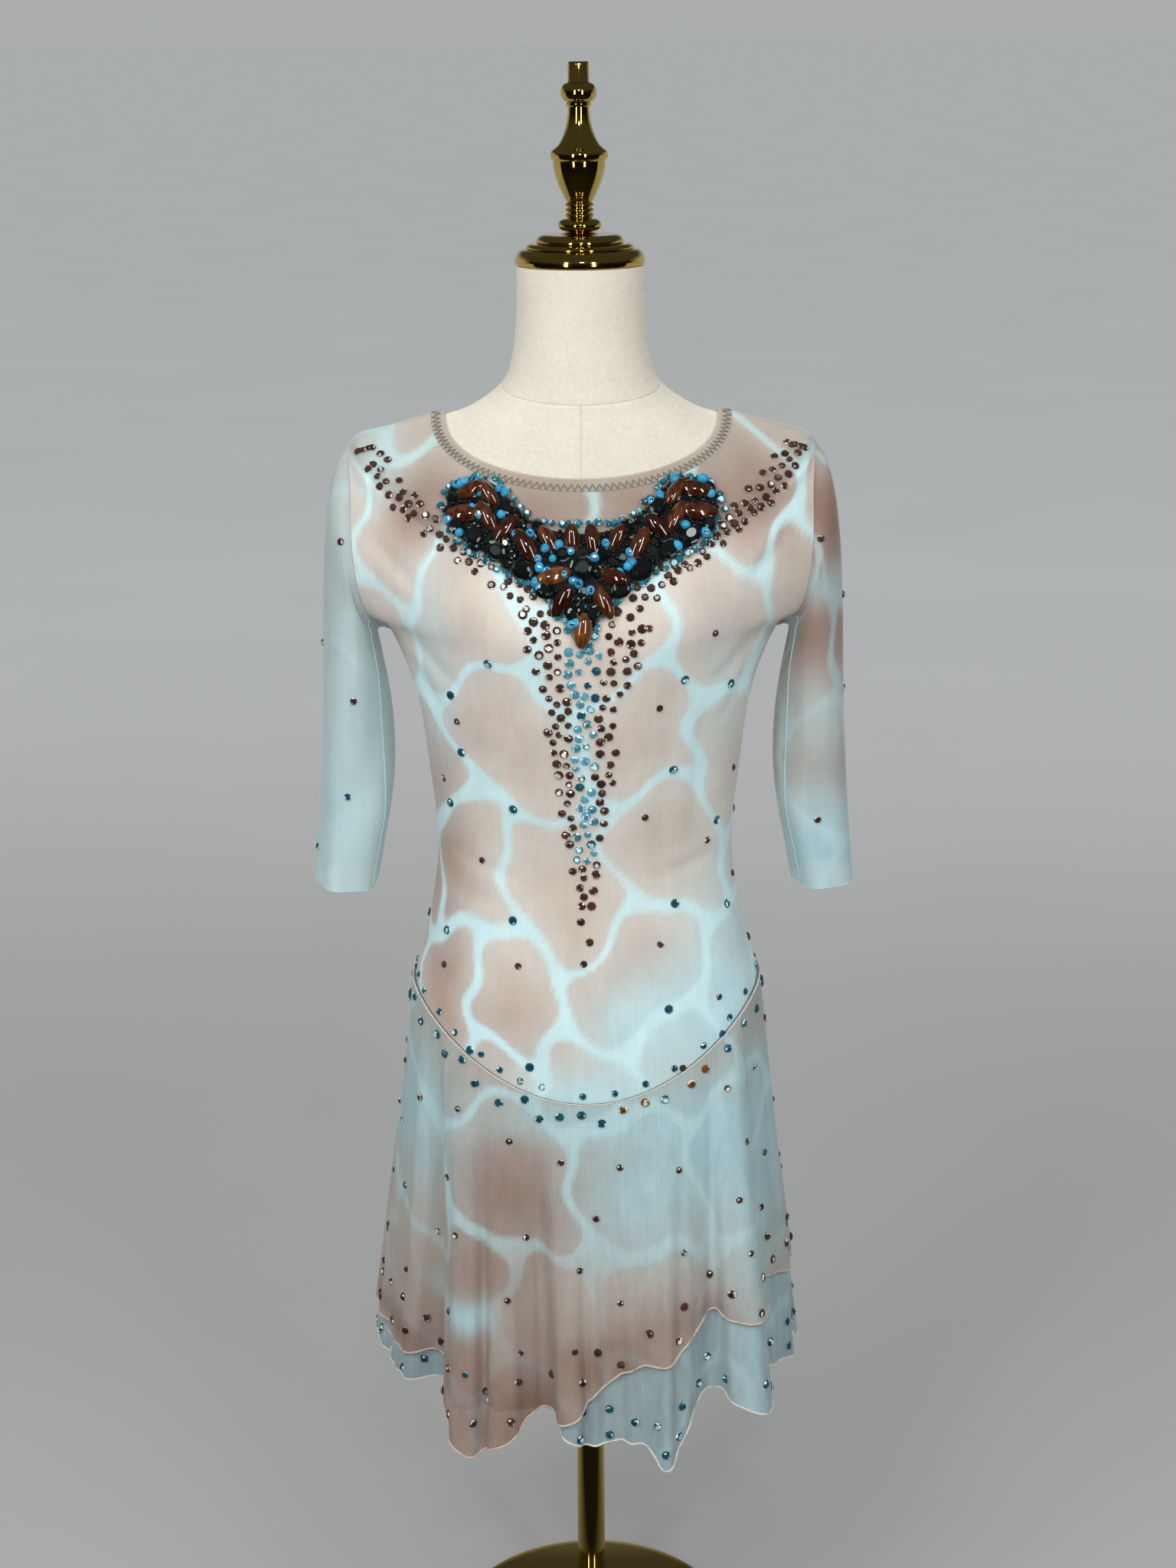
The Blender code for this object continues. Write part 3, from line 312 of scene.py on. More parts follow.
# Cells are a little taller than wide, and a line widens over this distance where others meet it.
CELL_STRETCH, LINE_ROUNDING = 1.1, 0.006
# An airbrushed line's soft edge, the haze beside it and how far that reaches.
LINE_EDGE, LINE_HAZE, HAZE_REACH = 0.0052, 0.16, 0.015
# The sprayed cells are a little deeper towards their middles: how much, and between which distances.
CELL_DEPTH, CELL_RIM, CELL_MIDDLE = 0.12, 0.01, 0.04

# The lower edge of the sheer yoke in front and behind: distance from the middle, and height.
YOKE_EDGE = {-1: [(0.0, 1.028), (0.05, 1.034), (0.107, 1.058), (0.15, 1.088), (0.19, 1.122)],
             1: [(0.0, 1.06), (0.05, 1.064), (0.107, 1.08), (0.15, 1.102), (0.19, 1.126)]}
YOKE_SOFTNESS = 0.004
NECK_BAND_COVER = 0.72

# Rows of stones from each shoulder tip to the collar, and the pointed column below the pendant: height
# and half width.
STONE_BAND = [(0.176, 1.126), (0.15, 1.092), (0.107, 1.06), (0.074, 1.039), (0.036, 1.014)]
STONE_BAND_WIDTH, STONE_BAND_ROWS = 0.021, 3
# The bands' spacing beside the settings' own, how their rows lean, how far stones stray across and in
# height, the share left out, and the outer end.
BAND_SPACING, BAND_LEAN, BAND_STRAY = 0.82, (0.62, 0.78), (0.0009, 0.0008)
BAND_MISSING, BAND_END = 0.1, 0.18
# The shoulder's top edge, which no stone passes: its height, how it falls, and from where.
SHOULDER_TOP, SHOULDER_FALL, SHOULDER_START = 1.129, 0.3, 0.15
STONE_COLUMN = [(1.008, 0.05), (0.972, 0.046), (0.928, 0.031), (0.877, 0.027), (0.831, 0.019),
                (0.787, 0.012), (0.752, 0.006)]
COLUMN_SINGLES = [(-0.004, 0.739), (0.003, 0.722), (-0.002, 0.704)]
# The column's spacing beside the settings' own, how near its middle stones come, and the pendant's place.
COLUMN_TRIES, COLUMN_SPACING, COLUMN_HOLD = 9000, 0.8, 0.55
PENDANT_FOOT, PENDANT_HALF = 0.978, 0.02
# The pale strip down the column's middle: where it ends, and its half width at two heights.
STRIP_FOOT, STRIP_HEIGHTS, STRIP_HALVES = 0.79, (0.9, 0.96), (0.0085, 0.015)
STRIP_PALE = 0.75

# Stones on the bodice front's lines, in its cells, on the back and on a sleeve: spacing, count and seed.
Scatter = namedtuple("Scatter", "spacing count seed")
ON_LINES, IN_CELLS, ON_BACK, ON_SLEEVE = table(
    Scatter, (0.05, 17, 5), (0.055, 15, 6), (0.062, 34, 7), (0.066, 14, 8))
# Where they lie: heights and distances from the middle in front, how strong a line has to be or may be
# beside them, the top behind and on a sleeve, and how far a sleeve's inner side is left free.
FRONT_HEIGHTS, FRONT_ASIDE, LINE_LEAST, CELL_MOST = (0.6, 1.0), (0.045, 0.128), 0.85, 0.08
BACK_STONES_TOP, SLEEVE_STONES_TOP, SLEEVE_TURNED = 1.07, 1.06, -0.3
# How far a glued stone tips, its height beside its radius, and the widest turn, in radians.
STONE_TIP, STONE_HEIGHT, WIDEST_TURN = 0.06, 0.95, 6.0

# Stones scattered on both sides of the dress: the cloth, the rows between which they lie, spacing,
# count, seed, size, the share of brown ones among the teal, and that of amber ones by the waist.
Sprinkle = namedtuple("Sprinkle", "cloth above below spacing count seed size brown amber", defaults=[0.0])
SPRINKLES = table(
    Sprinkle,
    ("over", 1, 7, 0.017, 24, 11, "large", 0.0, 0.4), ("over", 12, 74, 0.045, 34, 13, "small", 0.8),
    ("over", 76, 90, 0.024, 34, 15, "large", 1.0), ("under", 82, 91, 0.02, 40, 17, "large", 0.0),
    ("bodice", 2, 5, 0.017, 24, 19, "small", 0.0))
AMBER_FROM, AMBER_TO = 0.03, 0.1

# Sewing threads: how thick each is, how far apart its turns or points are, and how far it is lifted.
HEM_ROLL = 0.001
CORD_PLY, CORD_PITCH, CORD_LIFT, CORD_STEP = 0.00042, 0.0058, 0.0024, 0.0011
NECKLINE_THREAD, NECKLINE_POINTS, NECKLINE_LIFT = 0.00046, 264, 0.0004
SEAM_THREAD, CUFF_THREAD, SEAM_LIFT, SEAM_TURN = 0.0006, 0.0004, 0.0002, 146

SHARP = math.radians(40)


def linear(code):
    """Linear red, green and blue of an sRGB hex colour."""
    shares = [int(code[k:k + 2], 16) / 255 for k in (0, 2, 4)]
    return tuple(s / 12.92 if s <= 0.04045 else ((s + 0.055) / 1.055) ** 2.4 for s in shares)


def tone(label, code, about):
    return FloatVectorProperty(name=label, description=about, subtype="COLOR", size=3, min=0, max=1,
                               default=linear(code))


def cover(label, share, about):
    return FloatProperty(name=label, description=about, default=share, min=0, max=1, subtype="FACTOR")


def length(label, metres, about, low=0.001, high=0.01):
    return FloatProperty(name=label, description=about, default=metres, min=low, max=high,
                         unit="LENGTH", precision=4)


class ClothSettings(bpy.types.PropertyGroup):
    """Dyes and weave of the dress."""
    ground: tone("Ground", "CDC3B8", "Beige ground of the bodice and the sleeves")
    # The upper skirt's ground is its beige dye made deeper as painted shade, for the light that falls off
    # down the skirt.
    over_ground_with_shade: tone("Upper skirt ground", "C1B7AC", "Deeper beige ground of the upper skirt")
    rust: tone("Rust", "957568", "Airbrushed brown shading")
    aqua: tone("Aqua", "B3D9E1", "Airbrushed pale aqua shading")
    line: tone("Lines", "C6E6EA", "Airbrushed lines of the cell network")
    # The lower layer's grey-blue dye is made darker as painted shade, for the shadow that the layer lies in
    # under the upper one.
    ice: tone("Ice", "868F92", "Dye of the lower skirt layer")
    edge: tone("Neck edge", "BCAFA0", "Turned neckline edge")
    thread: tone("Thread", "D8D3C8", "Overlock and cord thread")
    hem: tone("Upper hem thread", "C9B6A8", "Overlock thread of the upper skirt, dyed with it")
    grain: length("Mesh grain", 0.0019, "Spacing of the knitted mesh as drawn", low=0.0005)
    yoke_cover: cover("Yoke cover", 0.62, "How opaque the yoke is")
    sleeve_cover: cover("Sleeve cover", 0.84, "How opaque the sleeves are")
    over_cover: cover("Upper skirt cover", 0.86, "How opaque the upper layer is")
    under_cover: cover("Lower skirt cover", 0.93, "How opaque the lower layer is")


class StoneSettings(bpy.types.PropertyGroup):
    """Sizes and colours of the stones and beads."""
    brown: tone("Brown", "573B31", "Foil-backed brown stones")
    teal: tone("Teal", "20606F", "Foil-backed teal stones")
    rim: tone("Rim stones", "2F8496", "Foil-backed stones round the collar")
    pale: tone("Pale aqua", "66B6CC", "Pale coated stones")
    amber: tone("Amber", "8C5426", "Amber stones on the yoke seam, and the bands of the ovals")
    tiger: tone("Oval stones", "43190B", "Polished brown oval stones")
    black: tone("Black stones", "151C1B", "Faceted black stones")
    turquoise: tone("Turquoise", "3399C4", "Opaque turquoise beads")
    small: length("Small stone", 0.0062, "Diameter of the small stones")
    large: length("Large stone", 0.0079, "Diameter of the large stones")
    spacing: length("Spacing", 0.0098, "Distance between stones in the rows", low=0.003, high=0.02)


class StandSettings(bpy.types.PropertyGroup):
    """The form's cover and the brass of the stand."""
    linen: tone("Cover", "DDD7C8", "Woven cover of the form")
    brass: tone("Brass", "D8BC60", "Polished brass")
    sides: IntProperty(name="Sides", description="Sides of the turned brass", default=96, min=16, max=256)


class StudioSettings(bpy.types.PropertyGroup):
    """Floor and lights."""
    # The floor's colour by the stand and far off; the far one is paler as painted light, for the light that
    # falls off with distance.
    floor_near: tone("Floor by the stand", "A6A7A7", "Plain pale floor by the stand")
    floor_far: tone("Floor far off", "E2E5E6", "Plain pale floor far from the stand")
    backdrop: tone("Backdrop", "ABADAE", "What the camera sees past the floor")
    key: FloatProperty(name="Key light", description="Power of the soft key light", default=23.0,
                       min=0, unit="POWER")
    sky: FloatProperty(name="Light from above", description="Soft light overhead", default=0.74, min=0)
    horizon: FloatProperty(name="Light from the side", description="Soft light all round", default=0.14,
                           min=0)


# Shapes of the figure, the sleeves and the skirt


def unit(vectors):
    """The vectors, each made one unit long."""
    return vectors / np.maximum(np.linalg.norm(vectors, axis=-1, keepdims=True), 1e-12)


def smooth_step(low, high, value):
    """0 up to low, 1 from high on, and an even slope between them."""
    share = np.clip((value - low) / (high - low), 0, 1)
    return share * share * (3 - 2 * share)


def hump(value, half):
    """A bell curve: 1 at zero, and 0.37 at half a width to each side."""
    return np.exp(-(value / half) ** 2)


def lengths(line):
    """How far along a line of points each of them lies."""
    return np.concatenate(([0], np.cumsum(np.linalg.norm(np.diff(line, axis=0), axis=1))))


def along(line, places):
    """Points at some lengths along a line of points."""
    run = lengths(line)
    return np.array([np.interp(places, run, values) for values in line.T]).T


def smooth_rows(rows, places):
    """The table's values at several places between its rows, on smooth curves through them."""
    values = np.array(rows, float)
    last = len(values) - 1
    places = np.asarray(places, float)
    here = np.clip(places.astype(int), 0, last - 1)
    share = (places - here)[:, None]
    values = np.concatenate(([2 * values[0] - values[1]], values, [2 * values[-1] - values[-2]]))
    a, b, c, d = (values[here + step] for step in range(4))
    return 0.5 * (2 * b + (c - a) * share + (2 * a - 5 * b + 4 * c - d) * share ** 2
                  + (3 * b - a - 3 * c + d) * share ** 3)


def body_points(levels, across, side):
    """Points of the dressed figure: across runs from -1 to 1, and side is -1 in front, 1 behind."""
    row = BodyRow(*smooth_rows(BODY, levels).T[:, :, None])
    edge, mid_y, mid_z = np.minimum(row.f_edge, 0), row.f_mid_y, row.f_mid_z
    if side > 0:
        edge, mid_y, mid_z = np.maximum(row.b_edge, 0), row.b_mid_y, row.b_mid_z
    closing = np.maximum(edge / mid_y, 0) ** (1 / ROUNDNESS)
    arc = np.arccos(np.minimum(closing, 1))
    turn = arc * across
    swell = np.maximum(np.cos(turn), 0) ** ROUNDNESS
    edge_share = closing ** ROUNDNESS
    share = np.maximum((swell - edge_share) / (1 - edge_share), 0)
    x = (row.x_edge - row.flare) * np.sin(turn) / np.sin(arc) + row.flare * across ** FLARE_BEND
    y = edge + (mid_y - edge) * share
    z = row.z_edge + (mid_z - row.z_edge) * share ** row.point
    if side < 0:
        bust_x, bust_z, rise, reach_x, reach_z = BUST
        y = y - share * rise * hump(abs(x) - bust_x, reach_x) * hump(z - bust_z, reach_z)
    return np.stack(np.broadcast_arrays(x, y, z), axis=-1)


def grid_normals(grid, wrap=False):
    """Unit normals of a grid of points, from its neighbours along and across."""
    down = np.gradient(grid, axis=0)
    across = np.roll(grid, -1, axis=1) - np.roll(grid, 1, axis=1) if wrap else np.gradient(grid, axis=1)
    return unit(np.cross(across, down))


def facing(normals, grid):
    """The normals, turned as one so that they point away from the upright axis."""
    return normals if (normals[:, :, :2] * grid[:, :, :2]).sum() > 0 else -normals


Surface = namedtuple("Surface", "points normals inner wrap")


def creased(grid, normals):
    """The bodice's front with its soft creases pressed in, and a soft ridge beside each."""
    x, z = grid[:, :, 0], grid[:, :, 2]
    depth = np.zeros_like(x)
    for c in CREASES:
        run = np.array((c.x1 - c.x0, c.z1 - c.z0))
        size = np.linalg.norm(run)
        place = ((x - c.x0) * run[0] + (z - c.z0) * run[1]) / size ** 2
        off = ((x - c.x0) * run[1] - (z - c.z0) * run[0]) / size
        ends = np.sin(np.pi * np.clip(place, 0, 1)) ** 0.7
        ridge = RIDGE_SHARE * hump(off - RIDGE_OFF * c.width, c.width)
        depth += c.depth * ends * (hump(off, c.width) - ridge)
    return grid - depth[:, :, None] * normals


@functools.cache
def panel(side):
    """The bodice's front or back; its side edges stop half a seam gap short."""
    low, armhole, top = PANEL_ROWS
    levels = np.concatenate((np.linspace(YOKE_ROW, ARMPIT_ROW, low)[:-1],
                             np.linspace(ARMPIT_ROW, TIP_ROW, armhole + 1)[:-1],
                             np.linspace(TIP_ROW, BODICE_TOP, top)))
    grid = body_points(levels, PANEL_ACROSS, side)
    normals = facing(grid_normals(grid), grid)
    for j in (0, -1):
        closed = np.abs(grid[:, j, 1]) < ON_SEAM
        normals[closed, j, 1] = 0.0
        normals[:, j] = unit(normals[:, j])
        grid[closed, j, 1] += side * SEAM_GAP / 2
    if side < 0:
        grid = creased(grid, normals)
    return Surface(grid, normals, grid - BODICE_WALL * normals, False)


def armhole_ring():
    """Outer and inner points of the right armhole, from the shoulder tip down the front and up the back."""
    start, stop = PANEL_ROWS[0] - 1, PANEL_ROWS[0] - 1 + PANEL_ROWS[1]
    rings = []
    for kind in ("points", "inner"):
        front, back = getattr(panel(-1), kind), getattr(panel(1), kind)
        rings.append(np.concatenate((front[stop:start:-1, -1], back[start:stop, -1])))
        rings[-1][[0, SLEEVE_SIDES // 2], 1] = 0.0
    return rings


def sleeve_axis(shares):
    """Centre of the sleeve's oval at shares of its length, half its long way and half its depth."""
    ring = SleeveRing(*smooth_rows(SLEEVE, shares * (len(SLEEVE) - 1)).T)
    top = np.stack((ring.x_out, ring.y_mid, ring.z_out), axis=-1)
    low = np.stack((ring.x_in, ring.y_mid, ring.z_in), axis=-1)
    return (top + low) / 2, (top - low) / 2, ring.half_depth[:, None] * np.array((0.0, 1.0, 0.0))


def waves(turn, share, height, count, lean):
    """Height of a sleeve's waves at a turn in degrees and a share of its length."""
    return height * np.sin(np.radians(count * turn + lean * share))


@functools.cache
def sleeve(hand):
    """A sleeve: hand is 1 on the viewer's right and -1 on the left."""
    start, start_inner = armhole_ring()
    shares = np.linspace(0, 1, SLEEVE_RINGS)[1:] ** SLEEVE_SPREAD
    centre, reach, depth = (part[:, None] for part in sleeve_axis(shares))
    drift = centre - sleeve_axis(np.zeros(1))[0]
    turn = np.linspace(0, 360, SLEEVE_SIDES, endpoint=False)[None, :, None]
    aside = np.sin(np.radians(turn))
    spoke = reach * np.cos(np.radians(turn)) - depth * aside
    share = shares[:, None, None]
    dent = CREASE_DEPTH * hump(turn - CREASE_TURN, CREASE_REACH)
    dent = dent * np.sin(np.pi * np.clip((share - CREASE_TOP) / (CREASE_END - CREASE_TOP), 0, 1))
    dent = dent + share ** 2 * waves(turn, share * hand, *CUFF_WAVES)
    dent = dent + np.sin(np.pi * share) * waves(turn, share, *ARM_WAVES)
    oval = centre + spoke * (1 - dent / np.linalg.norm(spoke, axis=2, keepdims=True))
    eased = smooth_step(0, HEAD_EASE + HEAD_EASE_ASIDE * abs(aside), share)
    rings = start + drift + (oval - start - drift) * eased
    leave = np.cross(np.roll(start, -1, axis=0) - np.roll(start, 1, axis=0), start - start_inner)
    outside = start.mean(axis=0) + np.array((OUTSIDE, 0.0, 0.0))
    leave *= np.sign((leave * (outside - start)).sum(axis=1, keepdims=True))
    leave = SEAM_GAP * unit(leave)
    grid = np.concatenate(([start + leave], rings))
    normals = grid_normals(grid, wrap=True)
    if (normals * (grid - grid.mean(axis=1, keepdims=True))).sum() < 0:
        normals = -normals
    inside = grid - SLEEVE_WALL * normals
    inside[0] = start_inner + leave
    armpit = SLEEVE_SIDES // 2
    inside[0, armpit] = grid[0, armpit] + np.array((0.0, 0.0, SLEEVE_WALL))
    flip = np.array((hand, 1, 1))
    return Surface(grid * flip, normals * flip, inside * flip, True)


def seam_points(turns):
    """Points of the yoke seam at turns in degrees from the front centre, up to 360."""
    front = body_points([YOKE_ROW], turns / 90, -1)[0]
    back = body_points([YOKE_ROW], (180 - turns) / 90, 1)[0]
    return np.where((abs(turns) <= 90)[:, None], front, back)


def hem_values(side, count):
    """Hem values at the columns of the skirt's front or back."""
    if side < 0:
        places = np.linspace(0, len(FRONT_FOLDS) - 1, count + 1)
        places[0] += SIDE_TRIM / (FRONT_FOLDS[1].turn - FRONT_FOLDS[0].turn)
        places[-1] -= SIDE_TRIM / (FRONT_FOLDS[-1].turn - FRONT_FOLDS[-2].turn)
        return HemFold(*smooth_rows(FRONT_FOLDS, places).T)
    right, left = FRONT_FOLDS[-1], FRONT_FOLDS[0]
    turns = np.linspace(90 + SIDE_TRIM, 270 - SIDE_TRIM, count + 1)
    share = (turns - 90) / 180
    beta = np.pi * share
    wave = 1 + BACK_WAVE_RISE * (1 - np.cos(2 * np.pi * BACK_WAVES * share)) / 2
    dip = BACK_HEM_DIP * np.sin(beta)
    return HemFold(
        turns, (right.x + (-left.x - right.x) * share) * np.cos(beta) * wave,
        BACK_HEM_DEPTH * np.sin(beta) * wave,
        right.over_z + (left.over_z - right.over_z) * (1 - np.cos(beta)) / 2 - dip,
        right.under_z + (left.under_z - right.under_z) * share - dip)


@functools.cache
def skirt(side, layer):
    """One layer of the skirt: layer is 'over' or 'under'."""
    columns = hem_values(side, FRONT_SKIRT_COLUMNS if side < 0 else BACK_SKIRT_COLUMNS)
    top = seam_points(columns.turn)
    foot = np.stack((columns.x, columns.y, np.full_like(columns.x, REFERENCE_Z)), axis=-1)
    shares = np.linspace(0, 1, SKIRT_ROWS + 1)[:, None, None]
    hem_z = columns.over_z if layer == "over" else columns.under_z
    reach = ((top[:, 2] - hem_z) / (top[:, 2] - REFERENCE_Z))[None, :, None]
    down = shares * reach
    grid = top + (foot - top) * down
    normals = grid_normals(grid)
    normals[:, (0, -1), 1] = 0.0
    normals[:, :, 2] = 0.0
    normals = facing(unit(normals), grid)
    # The flutes are alike in both layers, so that these stay apart.
    turn = np.radians(columns.turn)[None, :, None]
    flutes = sum(share * np.sin(count * turn + phase + lean * down) for count, share, phase, lean in FLUTES)
    offset = OVER_OFFSET if layer == "over" else UNDER_OFFSET - (HEM_LAYER_GAP - UNDER_OFFSET) * down
    grid = grid + (offset + FLUTE_DEPTH * flutes * down ** 1.3) * normals - np.array((0, 0, SEAM_GAP))
    return Surface(grid, normals, grid - SKIRT_WALL * normals, False)


def band_surface():
    """The turned neckline edge, one ring round the front and the back, softly rounded."""
    levels = np.linspace(BAND_FOOT, NECK_ROW, 7)
    front, back = body_points(levels, PANEL_ACROSS, -1), body_points(levels, PANEL_ACROSS[::-1][1:-1], 1)
    grid = np.concatenate((front, back), axis=1)
    normals = facing(grid_normals(grid, wrap=True), grid)
    share = np.linspace(0, 1, len(levels))[:, None, None]
    raised = grid + (0.0001 + 0.0003 * np.sin(np.pi * share)) * normals
    return Surface(raised, normals, grid - BODICE_WALL * normals, True)


SURFACES = {
    "bodice_front": lambda: panel(-1),
    "bodice_back": lambda: panel(1),
    "sleeve_left": lambda: sleeve(-1),
    "sleeve_right": lambda: sleeve(1),
    "overskirt_front": lambda: skirt(-1, "over"),
    "overskirt_back": lambda: skirt(1, "over"),
    "underskirt_front": lambda: skirt(-1, "under"),
    "underskirt_back": lambda: skirt(1, "under"),
    "neck_band": band_surface,
}


def form_ring(level, turns):
    """Points of the form at one level and at turns about its axis."""
    spread = np.linspace(-1, 1, 121)
    front = body_points([level], spread, -1)[0]
    behind = body_points([level], spread, 1)[0][::-1]
    loop = []
    for start, end in ((front, behind), (behind, front)):
        loop += list(start)
        if abs(start[-1][1] - end[0][1]) > ARMHOLE_OPEN:
            loop += [start[-1] + (end[0] - start[-1]) * share for share in np.linspace(0, 1, 25)[1:-1]]
    loop = np.array(loop)
    angle = np.unwrap(np.arctan2(loop[:, 1], loop[:, 0]))
    order = np.argsort(angle, kind="stable")
    places = angle[0] + (turns - angle[0]) % (2 * np.pi)
    return np.array([np.interp(places, angle[order], loop[order, axis]) for axis in range(3)]).T


# Meshes


def settle(thing, node, slot):
    """Lets a piece ride with the part and stand for a node, whose part it hides. The slot is not used."""
    if node:
        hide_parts(node)
    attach(thing, "root")


def sewn(name, points, faces, look, slot, node=None, smooth=True, sharp=None):
    """A finished piece from points and faces."""
    mesh = bpy.data.meshes.new(name)
    mesh.from_pydata(np.asarray(points).tolist(), [], faces)
    if smooth:
        mesh.shade_smooth()
    if sharp:
        mesh.set_sharp_from_angle(angle=sharp)
    mesh.materials.append(look)
    thing = bpy.data.objects.new(name, mesh)
    bpy.context.collection.objects.link(thing)
    settle(thing, node, slot)
    return thing


def cloth_faces(rows, columns, wrap):
    """Quads of a closed thin wall, whose inner points follow the outer ones."""
    last = columns if wrap else columns - 1
    i, j = np.meshgrid(np.arange(rows - 1), np.arange(last), indexing="ij")
    k = (j + 1) % columns
    a, b, c, d = i * columns + j, i * columns + k, (i + 1) * columns + k, (i + 1) * columns + j
    behind = rows * columns
    quads = [np.stack((a, b, c, d), -1), behind + np.stack((d, c, b, a), -1)]
    ends = [(b[0], a[0]), (d[-1], c[-1])]
    if not wrap:
        ends += [(a[:, 0], d[:, 0]), (c[:, -1], b[:, -1])]
    quads += [np.stack((p, q, behind + q, behind + p), -1) for p, q in ends]
    return np.concatenate([q.reshape(-1, 4) for q in quads])


def outward(quads, points, k, normal):
    """The quads, all turned over if the k-th one doesn't face along the normal."""
    a, b, c, _ = points[quads[k]]
    return (quads if np.cross(b - a, c - b) @ normal >= 0 else quads[:, ::-1]).tolist()


def flat_places(surface):
    """Each point's place on the flat cloth: across from the middle column, and its height."""
    grid = surface.points
    steps = np.linalg.norm(np.diff(grid, axis=1), axis=2)
    across = np.concatenate((np.zeros((len(grid), 1)), np.cumsum(steps, axis=1)), axis=1)
    if surface.wrap:
        whole = across[:, -1:] + np.linalg.norm(grid[:, -1] - grid[:, 0], axis=1)[:, None]
        across = np.where(across > whole / 2, across - whole, across)
    else:
        across = across - across[:, grid.shape[1] // 2][:, None]
    return across, grid[:, :, 2]


def cloth(node, look, slot, masks):
    """A thin closed wall of cloth with its dye masks, and its own flat places as a UV map."""
    surface = SURFACES[node]()
    rows, columns = surface.points.shape[:2]
    corners = surface.points.reshape(-1, 3)
    middle = (rows // 2) * (columns if surface.wrap else columns - 1)
    faces = outward(cloth_faces(rows, columns, surface.wrap), corners, middle, surface.normals[rows // 2, 0])
    points = np.concatenate((corners, surface.inner.reshape(-1, 3)))
    made = sewn(node + "_cloth", points, faces, look, slot, node, sharp=SHARP)
    mesh = made.data
    for kind, values in masks.items():
        layer = mesh.attributes.new(kind, "FLOAT", "POINT")
        layer.data.foreach_set("value", np.tile(values.ravel(), 2).astype(np.float32))
    flat = np.tile(np.stack(flat_places(surface), -1).reshape(-1, 2), (2, 1))
    at = np.empty(len(mesh.loops), np.int32)
    mesh.loops.foreach_get("vertex_index", at)
    mesh.uv_layers.new(name="cloth").data.foreach_set("uv", flat[at].ravel().astype(np.float32))


def cell_centres(network, u, v):
    """Centres of the dyed cells: a brick pattern, each centre moved by its own small amount."""
    rng = np.random.default_rng(network.seed)
    centres = []
    rows = np.arange(v.min() - network.height, v.max() + 2 * network.height, network.height)
    for k, height in enumerate(rows):
        start = u.min() - network.width * (1.5 if k % 2 else 1.0)
        for place in np.arange(start, u.max() + 2 * network.width, network.width):
            moved = rng.uniform(-CELL_SHIFT, CELL_SHIFT, 2) * (network.width, network.height)
            centres.append((place + moved[0], height + moved[1]))
    return np.array(centres)


def wander(place, other, height, period, start, fine, fine_period, lean):
    """Places moved to one side by a large and a fine wave that run the other way."""
    return (place + height * np.sin(2 * np.pi * other / period + start)
            + fine * np.sin(2 * np.pi * other / fine_period + place * lean))


def line_distance(u, v, centres):
    """Distance of each place to the nearest line between cells; lines widen where they meet."""
    across, down = wander(u, v, *WANDER_ACROSS), wander(v, u, *WANDER_DOWN)
    places = np.stack((across.ravel(), down.ravel() / CELL_STRETCH), -1)
    seeds = centres / np.array((1.0, CELL_STRETCH))
    square = ((places[:, None] - seeds) ** 2).sum(-1)
    nearest = square.argmin(axis=1)
    apart = np.linalg.norm(seeds[nearest][:, None] - seeds, axis=2)
    own = np.arange(len(seeds)) == nearest[:, None]
    away = (square - square.min(axis=1, keepdims=True)) / np.maximum(2 * apart, 1e-9)
    away[own] = 1.0
    return (-LINE_ROUNDING * np.log(np.exp(-away / LINE_ROUNDING).sum(axis=1))).reshape(u.shape)


@functools.cache
def dye_masks(name, share, side=0):
    """Masks of the airbrushed tints and lines, and the cloth's cover for one wall of the shell."""
    surface = SURFACES[name]()
    network = NETWORKS[name]
    u, v = flat_places(surface)
    x, z = surface.points[:, :, 0], surface.points[:, :, 2]
    away = line_distance(u, v, cell_centres(network, u, v))
    # A line's width and strength vary along it, in waves 190 and 230 mm long.
    uneven = 0.5 + 0.25 * (np.sin(2 * np.pi * u / 0.19 + network.seed) + np.sin(2 * np.pi * v / 0.23 + 2.0))
    core = network.line * (0.25 + 0.9 * uneven)
    line = 1 - smooth_step(core, core + LINE_EDGE, away)
    line = np.maximum(line, LINE_HAZE * hump(np.maximum(away, 0), HAZE_REACH))
    faded = 0.15 + 0.85 * smooth_step(*network.fade, z)
    masks = {"rust": 0, "aqua": 0, "line": line * network.strength * (0.80 + 0.20 * uneven) * faded}
    for kind in masks:
        clear = np.ones_like(x)
        for t in TINTS[name]:
            if t.kind == kind:
                clear = clear * (1 - t.strength * hump(x - t.x, t.reach_x) * hump(z - t.z, t.reach_z))
        masks[kind] = np.maximum(masks[kind], 1 - clear)
    masks["rust"] = np.clip(masks["rust"] + CELL_DEPTH * smooth_step(CELL_RIM, CELL_MIDDLE, away), 0, 1)
    # Brown shows little where aqua was sprayed over it.
    masks["rust"] *= 1 - 0.85 * masks["aqua"]
    whole = np.full_like(x, share)
    if side:
        height = np.interp(abs(x), *np.transpose(YOKE_EDGE[side]))
        whole = 1 + (share - 1) * smooth_step(-YOKE_SOFTNESS, YOKE_SOFTNESS, z - height)
    # Light passes both walls of a shell, so each takes the square root of what gets through.
    masks["cover"] = 1 - np.sqrt(np.maximum(1 - whole, 0))
    return masks


